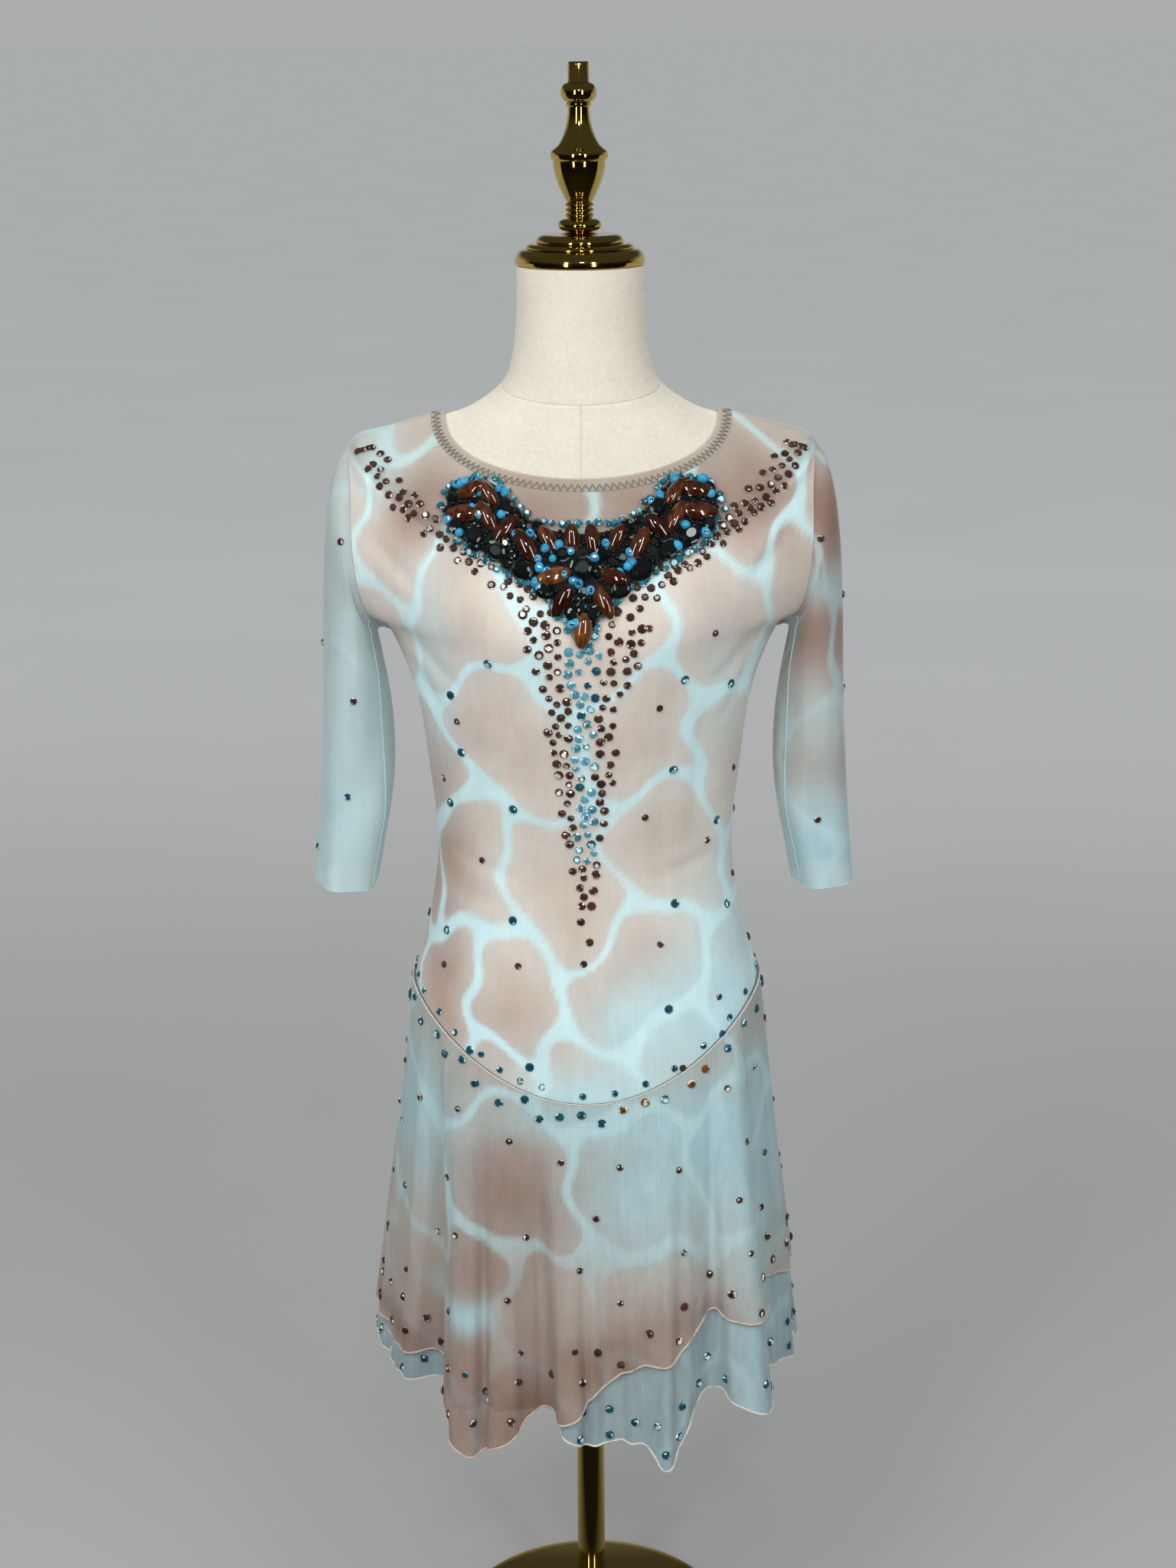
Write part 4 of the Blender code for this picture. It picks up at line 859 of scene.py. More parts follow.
def tube(points, radius, sides=6, closed=False):
    """Points and quads of a round thread along a line of points."""
    points = np.asarray(points, float)
    ahead = np.roll(points, -1, axis=0) - np.roll(points, 1, axis=0)
    if not closed:
        ahead[0], ahead[-1] = points[1] - points[0], points[-1] - points[-2]
    ahead = unit(ahead)
    up = np.cross(ahead[0], (0.3, 0.2, 1.0))
    first = []
    for way in ahead:
        up = unit(up - way * (up @ way))
        first.append(up)
    first = np.array(first)
    second = np.cross(ahead, first)
    angle = np.linspace(0, 2 * np.pi, sides, endpoint=False)[None, :, None]
    rings = points[:, None] + radius * (np.cos(angle) * first[:, None] + np.sin(angle) * second[:, None])
    count = len(points)
    faces = []
    for i in range(count if closed else count - 1):
        here, there = i * sides, (i + 1) % count * sides
        for j in range(sides):
            k = (j + 1) % sides
            faces.append((here + j, here + k, there + k, there + j))
    if not closed:
        faces.append(tuple(range(sides))[::-1])
        faces.append(tuple((count - 1) * sides + j for j in range(sides)))
    return rings.reshape(-1, 3), faces


def joined(name, parts, look, slot, smooth=True):
    """One piece from several lists of points and faces."""
    points, faces, start = [], [], 0
    for part_points, part_faces in parts:
        points.append(part_points)
        faces += [tuple(start + k for k in face) for face in part_faces]
        start += len(part_points)
    return sewn(name, np.concatenate(points), faces, look, slot, smooth=smooth)


def edit_all():
    """Goes into edit mode with all of the mesh selected."""
    bpy.ops.object.mode_set(mode="EDIT")
    bpy.ops.mesh.select_all(action="SELECT")


def close_up():
    """Turns all faces outwards, leaves edit mode and gives the object."""
    edit_all()
    bpy.ops.mesh.normals_make_consistent(inside=False)
    bpy.ops.object.mode_set(mode="OBJECT")
    return bpy.context.object


def lathe(sides, profile):
    """A turned or cut shape, extruded ring by ring from a disc: each ring is a radius and a height."""
    bpy.ops.object.select_all(action="DESELECT")
    radius, height = profile[0]
    bpy.ops.mesh.primitive_circle_add(vertices=sides, radius=radius, fill_type="NGON",
                                      location=(0, 0, height))
    bpy.ops.object.transform_apply(location=True, rotation=True, scale=True)
    edit_all()
    for (radius, height), (next_radius, next_height) in zip(profile, profile[1:]):
        bpy.ops.mesh.extrude_region_move(TRANSFORM_OT_translate={"value": (0, 0, next_height - height)})
        share = next_radius / radius
        bpy.ops.transform.resize(value=(share, share, 1), center_override=(0, 0, next_height))
    return close_up()


def master_shape(thing):
    """Points and faces of a shape that is modelled once with operators and then copied."""
    mesh = thing.data
    points = np.array([v.co for v in mesh.vertices])
    # Operators leave the points, and the faces of one ring, in another order each run, so these are
    # put in a fixed one.
    order = np.lexsort(points.round(5).T)
    moved = np.argsort(order)
    faces = [moved[list(p.vertices)].tolist() for p in mesh.polygons]
    faces = [face[face.index(min(face)):] + face[:face.index(min(face))] for face in faces]
    heights = [round(p.center.z, 3) for p in mesh.polygons]
    rings = {height: iter(sorted(face for face, own in zip(faces, heights) if own == height))
             for height in heights}
    faces = [next(rings[height]) for height in heights]
    bpy.data.objects.remove(thing, do_unlink=True)
    bpy.data.meshes.remove(mesh)
    return points[order], faces


# A stone's rings from its flat back over its girdle to its table, as radii and heights.
FLAT_BACK = ((1.0, 0.0), (1.0, 0.16), (0.80, 0.42), (0.528, 0.62))
CUT = ((1.0, 0.0), (1.0, 0.18), (0.86, 0.42), (0.688, 0.62), (0.46784, 0.74))


@functools.cache
def facet_stone(sides, rings=FLAT_BACK):
    """A flat-backed stone of unit radius: a low girdle, rings of facets and a table."""
    return master_shape(lathe(sides, rings))


@functools.cache
def round_bead(segments, rings, pointed=False):
    """A bead of unit size along X; a pointed one draws in towards both ends."""
    bpy.ops.object.select_all(action="DESELECT")
    bpy.ops.mesh.primitive_uv_sphere_add(segments=segments, ring_count=rings, radius=1.0,
                                         rotation=(0, math.pi / 2, 0))
    bpy.ops.object.transform_apply(location=False, rotation=True, scale=False)
    bead = bpy.context.object
    for place in sorted({round(v.co.x, 4) for v in bead.data.vertices}) if pointed else ():
        if abs(place) < 0.999:
            bpy.ops.object.mode_set(mode="EDIT")
            bpy.ops.mesh.select_mode(type="VERT")
            bpy.ops.mesh.select_all(action="DESELECT")
            bpy.ops.object.mode_set(mode="OBJECT")
            for v in bead.data.vertices:
                v.select = abs(v.co.x - place) < 1e-3
            bpy.ops.object.mode_set(mode="EDIT")
            share = (1 - place * place) ** 0.06
            bpy.ops.transform.resize(value=(1, share, share), center_override=(place, 0, 0))
            bpy.ops.object.mode_set(mode="OBJECT")
    return master_shape(close_up())


# A stone's place: its foot, the cloth's normal, its turn about that, and its half sizes.
Setting = namedtuple("Setting", "foot normal turn half_length half_width height")


def round_setting(foot, normal, diameter, turn, height):
    return Setting(foot, normal, turn, diameter / 2, diameter / 2, diameter / 2 * height)


def setting_axes(setting):
    """The stone's own axes: along, across and up. Turn 0 lies level."""
    up = unit(np.asarray(setting.normal, float))
    level = unit(np.cross((0.0, 0.0, 1.0), up))
    ahead = math.cos(setting.turn) * level + math.sin(setting.turn) * np.cross(up, level)
    return np.array((ahead, np.cross(up, ahead), up))


def set_stones(name, shape, settings, look, slot, seed, smooth=False):
    """Copies of one shape at many settings, joined, each facet with its own random share of painted light and
    shade.
    """
    points, faces = shape
    if not settings:
        raise RuntimeError(f"{name} has no places to set its stones")
    parts = [(s.foot + points * (s.half_length, s.half_width, s.height) @ setting_axes(s), faces)
             for s in settings]
    mesh = joined(name, parts, look, slot, smooth).data
    rng = np.random.default_rng(seed)
    # Each facet's random value sets its painted shade and painted glint; each stone's sets its own tone.
    for kind, values in (("glint", rng.random(len(mesh.polygons))),
                         ("stone", np.repeat(rng.random(len(settings)), len(faces)))):
        layer = mesh.attributes.new(kind, "FLOAT", "FACE")
        layer.data.foreach_set("value", values.astype(np.float32))


@functools.cache
def front_tree():
    """The bodice's front up to the top of the neckline edge, to find places on it."""
    edge = body_points([BAND_FOOT, NECK_ROW], PANEL_ACROSS, -1)
    points = np.concatenate((panel(-1).points, edge))
    rows, columns = points.shape[:2]
    faces = cloth_faces(rows, columns, False)[:(rows - 1) * (columns - 1)]
    return BVHTree.FromPolygons([Vector(p) for p in points.reshape(-1, 3)], faces.tolist())


def on_front(x, z):
    """Point and normal of the bodice's front behind a place in the front view."""
    place, normal = front_tree().ray_cast(Vector((x, -1.0, z)), Vector((0, 1, 0)))[:2]
    if place is None:
        raise RuntimeError(f"no cloth at x {x:.3f} and z {z:.3f}")
    if normal.y > 0:
        normal.negate()
    return np.array(place), np.array(normal)


def scatter(surface, allowed, spacing, count, seed):
    """Well-spaced points of a surface where it is allowed, with their normals."""
    rng = np.random.default_rng(seed)
    points, normals = surface.points[allowed], surface.normals[allowed]
    kept = []
    for k in rng.permutation(len(points)):
        if len(kept) == count:
            break
        if all(np.linalg.norm(points[k] - points[other]) > spacing for other in kept):
            kept.append(k)
    return [(points[k], normals[k]) for k in kept]


# Materials

SHADER = "Principled BSDF"
# The options and the output of a node that mixes two colours: socket 0 is the share, 6 and 7 the colours.
COLOURS = {"out": 2, "data_type": "RGBA"}


def dimmed(colour, share):
    return tuple(min(share * c, 1.0) for c in colour)


def rgba(colour, share=1.0):
    return (*dimmed(colour, share), 1.0)


def wire(node, sockets):
    """Gives each socket of a node its value, or links the output that feeds it."""
    for socket, given in sockets.items():
        if isinstance(given, bpy.types.NodeSocket):
            node.id_data.links.new(given, node.inputs[socket])
        else:
            node.inputs[socket].default_value = given


def add(tree, kind, sockets=None, out=0, **options):
    """Adds a node with its options, values and links, and gives one of its outputs."""
    made = tree.nodes.new("ShaderNode" + kind)
    for option, value in options.items():
        setattr(made, option, value)
    wire(made, sockets or {})
    return made.outputs[out]


def new_look(name):
    look = bpy.data.materials.new(name)
    look.use_nodes = True
    return look, look.node_tree


def levelled(tree, colour, pattern, start, end, low, high):
    """A colour dimmed to low or lifted to high as a pattern goes from start to end."""
    level = add(tree, "MapRange", {0: pattern, 1: start, 2: end, 3: low, 4: high})
    grey = add(tree, "CombineColor", {0: level, 1: level, 2: level})
    return add(tree, "Mix", {0: 1.0, 6: colour, 7: grey}, blend_type="MULTIPLY", **COLOURS)


def wave_scale(period):
    """The Wave texture's scale for bands that repeat every period, in metres."""
    return math.pi / 10 / period


def dyed_mesh(name, ground, dyes, streak_depth, grain_depth):
    """Knitted stretch mesh, dyed and airbrushed by hand: a matt ground, soft-edged pale lines, a faint
    and slightly uneven grid of holes, and a slight sheen where the threads turn away."""
    look, tree = new_look(name)
    masks = {kind: add(tree, "Attribute", out="Fac", attribute_name=kind)
             for kind in ("rust", "aqua", "line", "cover")}
    colour = rgba(ground)
    for kind in ("rust", "aqua", "line"):
        colour = add(tree, "Mix", {0: masks[kind], 6: colour, 7: rgba(getattr(dyes, kind))}, **COLOURS)
    place = add(tree, "TexCoord", out="Object")
    # Spray mottling, 25 mm wide, and hanging streaks of light and shade, 5 mm wide.
    mottle = add(tree, "TexNoise", {"Scale": 40.0, "Detail": 3.0, "Vector": place}, "Fac")
    tall = add(tree, "Mapping", {"Scale": (1.0, 1.0, 0.05), "Vector": place})
    streak = add(tree, "TexNoise", {"Scale": 190.0, "Detail": 2.0, "Vector": tall}, "Fac")
    for pattern, depth in ((mottle, 0.05), (streak, streak_depth)):
        colour = levelled(tree, colour, pattern, 0.25, 0.75, 1 - depth, 1 + depth)
    # Mesh grain: real mesh is about 0.5 mm, drawn at the settings' coarser spacing so that it shows.
    flat = add(tree, "UVMap", out="UV", uv_map="cloth")
    yarn = {"Scale": wave_scale(dyes.grain), "Distortion": 1.6, "Detail": 1.0, "Detail Scale": 0.6,
            "Vector": flat}
    across, along = (add(tree, "TexWave", yarn, "Fac", bands_direction=way) for way in "XY")
    grid = add(tree, "Math", {0: across, 1: along}, operation="MAXIMUM")
    colour = levelled(tree, colour, grid, 0.0, 1.0, 1 - grain_depth, 1.0)
    bump = add(tree, "Bump", {"Strength": 0.35, "Distance": 0.0003, "Height": grid})
    # Less of the cloth covers at the holes than on the yarn.
    holes = add(tree, "MapRange", {0: grid, 1: 0.0, 2: 1.0, 3: 0.86, 4: 1.05})
    seen = add(tree, "Math", {0: masks["cover"], 1: holes}, operation="MULTIPLY", use_clamp=True)
    wire(tree.nodes[SHADER], {"Roughness": 0.62, "Sheen Weight": 0.22, "Sheen Roughness": 0.45,
                              "Specular IOR Level": 0.28, "Base Color": colour, "Normal": bump,
                              "Alpha": seen})
    return look


def spun_thread(name, colour):
    """Polyester thread, twisted and stitched: matt, with ply ridges about 1 mm apart."""
    look, tree = new_look(name)
    place = add(tree, "TexCoord", out="Object")
    ply = add(tree, "TexNoise", {"Scale": 900.0, "Detail": 1.0, "Vector": place}, "Fac")
    body = add(tree, "Mix", {0: ply, 6: rgba(colour, 0.72), 7: rgba(colour)}, **COLOURS)
    bump = add(tree, "Bump", {"Strength": 0.5, "Distance": 0.0002, "Height": ply})
    wire(tree.nodes[SHADER], {"Roughness": 0.7, "Sheen Weight": 0.2, "Base Color": body, "Normal": bump})
    return look


def woven_linen(name, colour):
    """Plain-woven cotton and linen over wadding: a matt cream cover with uneven threads, 1.2 mm apart as
    drawn, slubs along them, 3 mm long, and clouding 55 mm wide."""
    look, tree = new_look(name)
    place = add(tree, "TexCoord", out="Object")
    yarn = {"Scale": wave_scale(0.0012), "Distortion": 1.4, "Detail": 1.0, "Vector": place}
    weft, warp = (add(tree, "TexWave", yarn, "Fac", bands_direction=way) for way in "XZ")
    weave = add(tree, "Math", {0: weft, 1: warp}, operation="MULTIPLY")
    slub = add(tree, "TexNoise", {"Scale": 320.0, "Detail": 4.0, "Vector": place}, "Fac")
    cloud = add(tree, "TexNoise", {"Scale": 18.0, "Detail": 2.0, "Vector": place}, "Fac")
    body = add(tree, "Mix", {0: slub, 6: rgba(colour, 0.74), 7: rgba(colour, 1.05)}, **COLOURS)
    body = add(tree, "Mix", {0: weave, 6: body, 7: rgba(colour, 0.90)}, **COLOURS)
    body = levelled(tree, body, cloud, 0.3, 0.7, 0.96, 1.03)
    height = add(tree, "Math", {0: weave, 1: slub}, operation="ADD")
    bump = add(tree, "Bump", {"Strength": 0.55, "Distance": 0.0004, "Height": height})
    wire(tree.nodes[SHADER], {"Roughness": 0.88, "Sheen Weight": 0.15, "Specular IOR Level": 0.25,
                              "Base Color": body, "Normal": bump})
    return look


def polished_brass(name, colour):
    """Brass, turned on a lathe, polished and lacquered: a mirror with faint turning marks round it, 0.7 mm
    apart, and slightly uneven gloss and colour, 20 mm wide."""
    look, tree = new_look(name)
    place = add(tree, "TexCoord", out="Object")
    flat = add(tree, "Mapping", {"Scale": (0.02, 0.02, 1.0), "Vector": place})
    marks = add(tree, "TexNoise", {"Scale": 1400.0, "Detail": 2.0, "Vector": flat}, "Fac")
    film = add(tree, "TexNoise", {"Scale": 45.0, "Detail": 3.0, "Vector": place}, "Fac")
    gloss = add(tree, "MapRange", {0: film, 1: 0.3, 2: 0.7, 3: 0.04, 4: 0.09})
    # Old brass is deeper and a little redder where the polish is thin.
    deep = [c * share for c, share in zip(colour, (0.90, 0.87, 0.76))]
    body = add(tree, "Mix", {0: film, 6: rgba(deep), 7: rgba(colour)}, **COLOURS)
    bump = add(tree, "Bump", {"Strength": 0.05, "Distance": 0.0001, "Height": marks})
    wire(tree.nodes[SHADER], {"Metallic": 1.0, "Coat Weight": 0.25, "Coat Roughness": 0.04,
                              "Roughness": gloss, "Base Color": body, "Normal": bump})
    return look


def foiled_stone(name, colour, bright, painted_glint_share):
    """Faceted glass, cut flat-backed and foiled, with painted light: each facet is painted a random depth of
    shade, and the share of facets given as the last argument is painted bright as a glint."""
    look, tree = new_look(name)
    glint, own = (add(tree, "Attribute", out="Fac", attribute_name=kind) for kind in ("glint", "stone"))
    # Painted shade: each facet is darkened by a random share, together with the stone's own tone.
    both = add(tree, "Math", {0: own, 1: glint}, operation="ADD")
    depth = add(tree, "Math", {0: both, 1: 0.5}, operation="MULTIPLY")
    body = add(tree, "Mix", {0: depth, 6: rgba(colour, 0.30), 7: rgba(colour)}, **COLOURS)
    # Painted glint: a share of the facets is painted bright, however the light falls.
    flash = add(tree, "MapRange", {0: glint, 1: 1 - painted_glint_share, 2: 1 - painted_glint_share + 0.12, 3: 0.0, 4: 1.0})
    body = add(tree, "Mix", {0: flash, 6: body, 7: rgba(bright)}, **COLOURS)
    wire(tree.nodes[SHADER], {"Metallic": 0.15, "Roughness": 0.12, "Coat Weight": 0.6,
                              "Coat Roughness": 0.03, "Base Color": body})
    return look


def banded_stone(name, colour, band):
    """Brown tiger stone, cut as an oval and polished: fibrous amber bands 5 mm wide, and a wet-looking
    gloss. Some stones are lighter, in olive amber."""
    look, tree = new_look(name)
    place = add(tree, "TexCoord", out="Object")
    leaned = add(tree, "Mapping", {"Scale": (1.0, 1.0, 0.35), "Rotation": (0, 0.6, 0), "Vector": place})
    fibre = add(tree, "TexNoise",
                {"Scale": 210.0, "Detail": 3.0, "Distortion": 0.8, "Vector": leaned}, "Fac")
    own = add(tree, "Attribute", out="Fac", attribute_name="stone")
    most = add(tree, "MapRange", {0: own, 1: 0.3, 2: 1.0, 3: 0.10, 4: 0.75})
    share = add(tree, "MapRange", {0: fibre, 1: 0.42, 2: 0.64, 3: 0.0, 4: most})
    body = add(tree, "Mix", {0: own, 6: rgba(colour, 0.20), 7: rgba(colour)}, **COLOURS)
    light = add(tree, "MapRange", {0: own, 1: 0.70, 2: 0.80, 3: 0.0, 4: 0.42})
    olive = [c * part for c, part in zip(band, (0.44, 0.60, 0.60))]
    body = add(tree, "Mix", {0: light, 6: body, 7: rgba(olive)}, **COLOURS)
    body = add(tree, "Mix", {0: share, 6: body, 7: rgba(band)}, **COLOURS)
    wire(tree.nodes[SHADER], {"Roughness": 0.10, "Coat Weight": 1.0, "Coat Roughness": 0.04,
                              "Coat IOR": 1.7, "Specular IOR Level": 0.9, "Base Color": body})
    return look


def glazed_bead(name, colour):
    """Opaque pressed glass: saturated, smooth, with a sharp highlight and small colour shifts, 2 mm wide."""
    look, tree = new_look(name)
    own = add(tree, "Attribute", out="Fac", attribute_name="stone")
    place = add(tree, "TexCoord", out="Object")
    cloud = add(tree, "TexNoise", {"Scale": 420.0, "Vector": place}, "Fac")
    body = add(tree, "Mix", {0: own, 6: rgba(colour, 0.6), 7: rgba(colour)}, **COLOURS)
    lift = add(tree, "MapRange", {0: cloud, 1: 0.45, 2: 0.7, 3: 0.0, 4: 0.35})
    body = add(tree, "Mix", {0: lift, 6: body, 7: rgba(colour, 1.6)}, **COLOURS)
    wire(tree.nodes[SHADER], {"Roughness": 0.16, "Coat Weight": 0.6, "Coat Roughness": 0.04,
                              "Base Color": body})
    return look


# Sewing


def rolled_edge(surface):
    """The line of a rolled hem, with the small waves that its tight thread gives it."""
    edge = (surface.points[-1] + surface.inner[-1]) / 2
    run = lengths(edge)
    # The waves are 13 and 31 mm long.
    wave = 0.0003 * np.sin(2 * np.pi * run / 0.013) + 0.0004 * np.sin(2 * np.pi * run / 0.031 + 1)
    return edge + wave[:, None] * surface.normals[-1] + np.array((0, 0, SEAM_GAP))


def level_out(points):
    """Level directions away from the upright axis."""
    return unit(points * np.array((1.0, 1.0, 0.0)))


def yoke_cord():
    """Two plies of the cord that covers the yoke seam, twisted about it, a little loose here and there."""
    line = seam_points(np.linspace(-90, 270, 721)[:-1])
    line = line + CORD_LIFT * level_out(line)
    line = np.concatenate((line, line[:1]))
    run = lengths(line)[-1]
    line = along(line, np.linspace(0, run, int(run / CORD_STEP), endpoint=False))
    out, up = level_out(line), np.array((0.0, 0.0, 1.0))
    twists = round(len(line) * CORD_STEP / CORD_PITCH)
    plies = []
    for start in (0.0, math.pi):
        angle = (2 * math.pi * twists * np.arange(len(line)) / len(line) + start)[:, None]
        loose = CORD_PLY * (1 + 0.5 * np.sin(0.31 * angle) * np.sin(0.073 * angle + 1))
        ply = line + loose * (np.cos(angle) * out + np.sin(angle) * up)
        plies.append(tube(ply, CORD_PLY, 5, closed=True))
    return plies


def neckline_stitches():
    """A zigzag of thread over the turned edge, between its first and its fifth row."""
    band = band_surface()
    columns = band.points.shape[1]
    count = np.arange(NECKLINE_POINTS)
    place = count / NECKLINE_POINTS * columns
    low, share = place.astype(int) % columns, (place % 1)[:, None]
    ends = []
    for row in (0, 4):
        here = band.points[row] + NECKLINE_LIFT * band.normals[row]
        ends.append(here[low] * (1 - share) + here[(low + 1) % columns] * share)
    zigzag = np.where((count % 2 == 0)[:, None], *ends)
    middle = (zigzag + np.roll(zigzag, -1, axis=0)) / 2 + 0.75 * NECKLINE_LIFT * band.normals[2][low]
    line = np.stack((zigzag, middle), axis=1).reshape(-1, 3)
    return [tube(line, NECKLINE_THREAD, 5, closed=True)]


def sleeve_seams():
    """The overlocked seam down the inner side of each sleeve, and the thread round its cuff."""
    parts = []
    for hand in (-1, 1):
        surface = sleeve(hand)
        raised = surface.points + SEAM_LIFT * surface.normals
        parts.append(tube(raised[3:, round(SLEEVE_SIDES * SEAM_TURN / 360)], SEAM_THREAD, 6))
        parts.append(tube(raised[-1], CUFF_THREAD, 5, closed=True))
    return parts


# Collar


def collar_place(place, share):
    """A place in the front view: along the collar from its middle, and from its inner to its outer edge."""
    station = Station(*smooth_rows(COLLAR, [abs(place)])[0])
    x = station.inner_x + (station.outer_x - station.inner_x) * share
    z = station.inner_z + (station.outer_z - station.inner_z) * share
    return (-x if place < 0 else x), z


def collar_backing(look):
    """The collar's felt backing, laid on the bodice's front and thinner at its two ends."""
    end = COLLAR_ENDS - 0.15
    walls = []
    for place in np.linspace(-end, end, 121):
        thin = COLLAR_LIFT + COLLAR_BACKING * (0.3 + 0.7 * np.minimum(end - abs(place), 0.25) / 0.25)
        row = [on_front(*collar_place(place, share)) for share in np.linspace(0.06, 0.93, 22)]
        walls.append([[point + lift * normal for point, normal in row] for lift in (thin, COLLAR_LIFT)])
    grid, inner = np.array(walls).transpose(1, 0, 2, 3)
    points = np.concatenate((grid.reshape(-1, 3), inner.reshape(-1, 3)))
    faces = outward(cloth_faces(*grid.shape[:2], False), points, 0, grid[0, 0] - inner[0, 0])
    return sewn("collar_backing", points, faces, look, "brown_stones", "neck_applique", sharp=SHARP)


def oval_settings(stones, rng, rise):
    """Places of the collar's long stones, mirrored, a little above the backing and tipped."""
    made = []
    long, wide, high = OVAL_SHOWN
    for oval in stones:
        for hand in ((1,) if oval.x == 0 else (1, -1)):
            foot, normal = on_front(hand * oval.x, oval.z)
            turn = math.radians(oval.turn if hand > 0 else 180 - oval.turn)
            lift = COLLAR_LIFT + COLLAR_BACKING + rise * oval.height
            tipped = normal + rng.normal(0, OVAL_TIP, 3)
            made.append(Setting(foot + lift * normal, tipped, turn + rng.normal(0, OVAL_TURN),
                                long * oval.length, wide * oval.width, high * oval.height))
    return made


def rim_settings(diameter, rng):
    """Small stones all along the collar's inner and outer edges, and across its two ends."""
    made = []
    for share in RIM_LINES:
        line = np.array([collar_place(place, share) for place in np.linspace(-COLLAR_ENDS, COLLAR_ENDS, 600)])
        for x, z in along(line, np.arange(0.002, lengths(line)[-1], RIM_SPACING * diameter)):
            foot, normal = on_front(x + rng.normal(0, RIM_STRAY), z + rng.normal(0, RIM_STRAY))
            tipped = normal + rng.normal(0, RIM_TIP, 3)
            made.append(round_setting(foot + 2 * COLLAR_LIFT * normal, tipped,
                                      diameter * rng.uniform(*RIM_SIZES), rng.uniform(0, WIDEST_TURN),
                                      RIM_HEIGHT))
    for place in (-COLLAR_ENDS, COLLAR_ENDS):
        for share in np.linspace(0.1, 0.9, 4):
            foot, normal = on_front(*collar_place(place, share))
            made.append(round_setting(foot + COLLAR_LIFT * normal, normal, RIM_SIZES[1] * diameter,
                                      rng.uniform(0, WIDEST_TURN), RIM_HEIGHT))
    return made


def filler(kind, foot, normal, rng):
    """A black cut stone, a turquoise bead or a small black bead, set on the backing."""
    foot = foot + (COLLAR_LIFT + COLLAR_BACKING) * normal
    turn, radius = rng.uniform(0, math.pi), kind.radius
    if kind is BLACK_FILLING:
        tipped = normal + rng.normal(0, CUT_TIP, 3)
        return Setting(foot + 0.0004 * normal, tipped, turn, radius * rng.uniform(1.0, 1.4),
                       radius * rng.uniform(0.8, 1.1), 0.0054)
    if kind is TURQUOISE_FILLING:
        size = radius * rng.uniform(0.85, 1.15)
        return Setting(foot + 0.0034 * normal, normal, turn, size * rng.uniform(1.0, 1.25), size, size)
    return Setting(foot + 0.0008 * normal, normal, turn, radius, radius, 1.5 * radius)


def collar_fill(rng, taken):
    """Black cut stones, turquoise beads and small black beads, each kept clear of those before."""
    groups = []
    for kind in FILLINGS:
        group = []
        for _ in range(FILLING_TRIES):
            if len(group) == kind.count:
                break
            place = rng.uniform(-COLLAR_ENDS + 0.2, COLLAR_ENDS - 0.1)
            x, z = collar_place(place, rng.uniform(kind.rim, 1 - kind.rim))
            if any(math.hypot(x - a, z - b) < kind.overlap * (kind.radius + 0.62 * r) for a, b, r in taken):
                continue
            taken.append((x, z, kind.radius))
            group.append(filler(kind, *on_front(x, z), rng))
        groups.append(group)
    return groups


# Rhinestones


def glue(rng, foot, normal, diameter):
    """A stone glued to the cloth, tipped a little from it as each real one is."""
    tipped = unit(normal + rng.normal(0, STONE_TIP, 3))
    return round_setting(foot, tipped, diameter, rng.uniform(0, WIDEST_TURN), STONE_HEIGHT)


def band_stones(rng, spacing, sizes):
    """The brown bands on both shoulders, each a few rows across, with single stones left out."""
    line = np.array(STONE_BAND)
    lean_x, lean_z = BAND_LEAN
    stray, stray_z = BAND_STRAY
    for hand in (1, -1):
        for k, (x, z) in enumerate(along(line, np.arange(0, lengths(line)[-1], BAND_SPACING * spacing))):
            for row in range(STONE_BAND_ROWS):
                across = (row - 1 + (0.5 if k % 2 else 0)) * STONE_BAND_WIDTH / STONE_BAND_ROWS
                across += rng.normal(0, stray)
                if rng.random() < BAND_MISSING:
                    continue
                off_x = min(x - lean_x * across, BAND_END)
                off_z = min(z + lean_z * across + rng.normal(0, stray_z),
                            SHOULDER_TOP - SHOULDER_FALL * max(off_x - SHOULDER_START, 0))
                yield "brown", glue(rng, *on_front(hand * off_x, off_z), rng.choice(sizes[:2]))


def column_stones(rng, spacing, sizes):
    """The pointed column below the pendant, with its pale strip."""
    heights, halves = np.array(STONE_COLUMN)[::-1].T
    column = []
    for _ in range(COLUMN_TRIES):
        z = rng.uniform(heights[0], heights[-1])
        x = np.interp(z, heights, halves) * rng.uniform(-1, 1) * rng.uniform(COLUMN_HOLD, 1.0)
        hidden = z > PENDANT_FOOT and abs(x) < PENDANT_HALF
        if not hidden and all(math.hypot(x - a, z - b) > COLUMN_SPACING * spacing for a, b in column):
            column.append((x, z))
    for x, z in column + COLUMN_SINGLES:
        strip = STRIP_FOOT < z and abs(x) < np.interp(z, STRIP_HEIGHTS, STRIP_HALVES)
        stone = glue(rng, *on_front(x, z), rng.choice(sizes))
        yield "pale" if strip and rng.random() < STRIP_PALE else "teal" if strip else "brown", stone


def sprinkle(rng, surface, allowed, where, diameter, colour):
    """Stones scattered on a cloth where it is allowed; colour gives each one's, by its number and place."""
    for k, (foot, normal) in enumerate(scatter(surface, allowed, *where)):
        chosen = colour(k, foot)
        yield chosen, glue(rng, foot, normal, diameter)


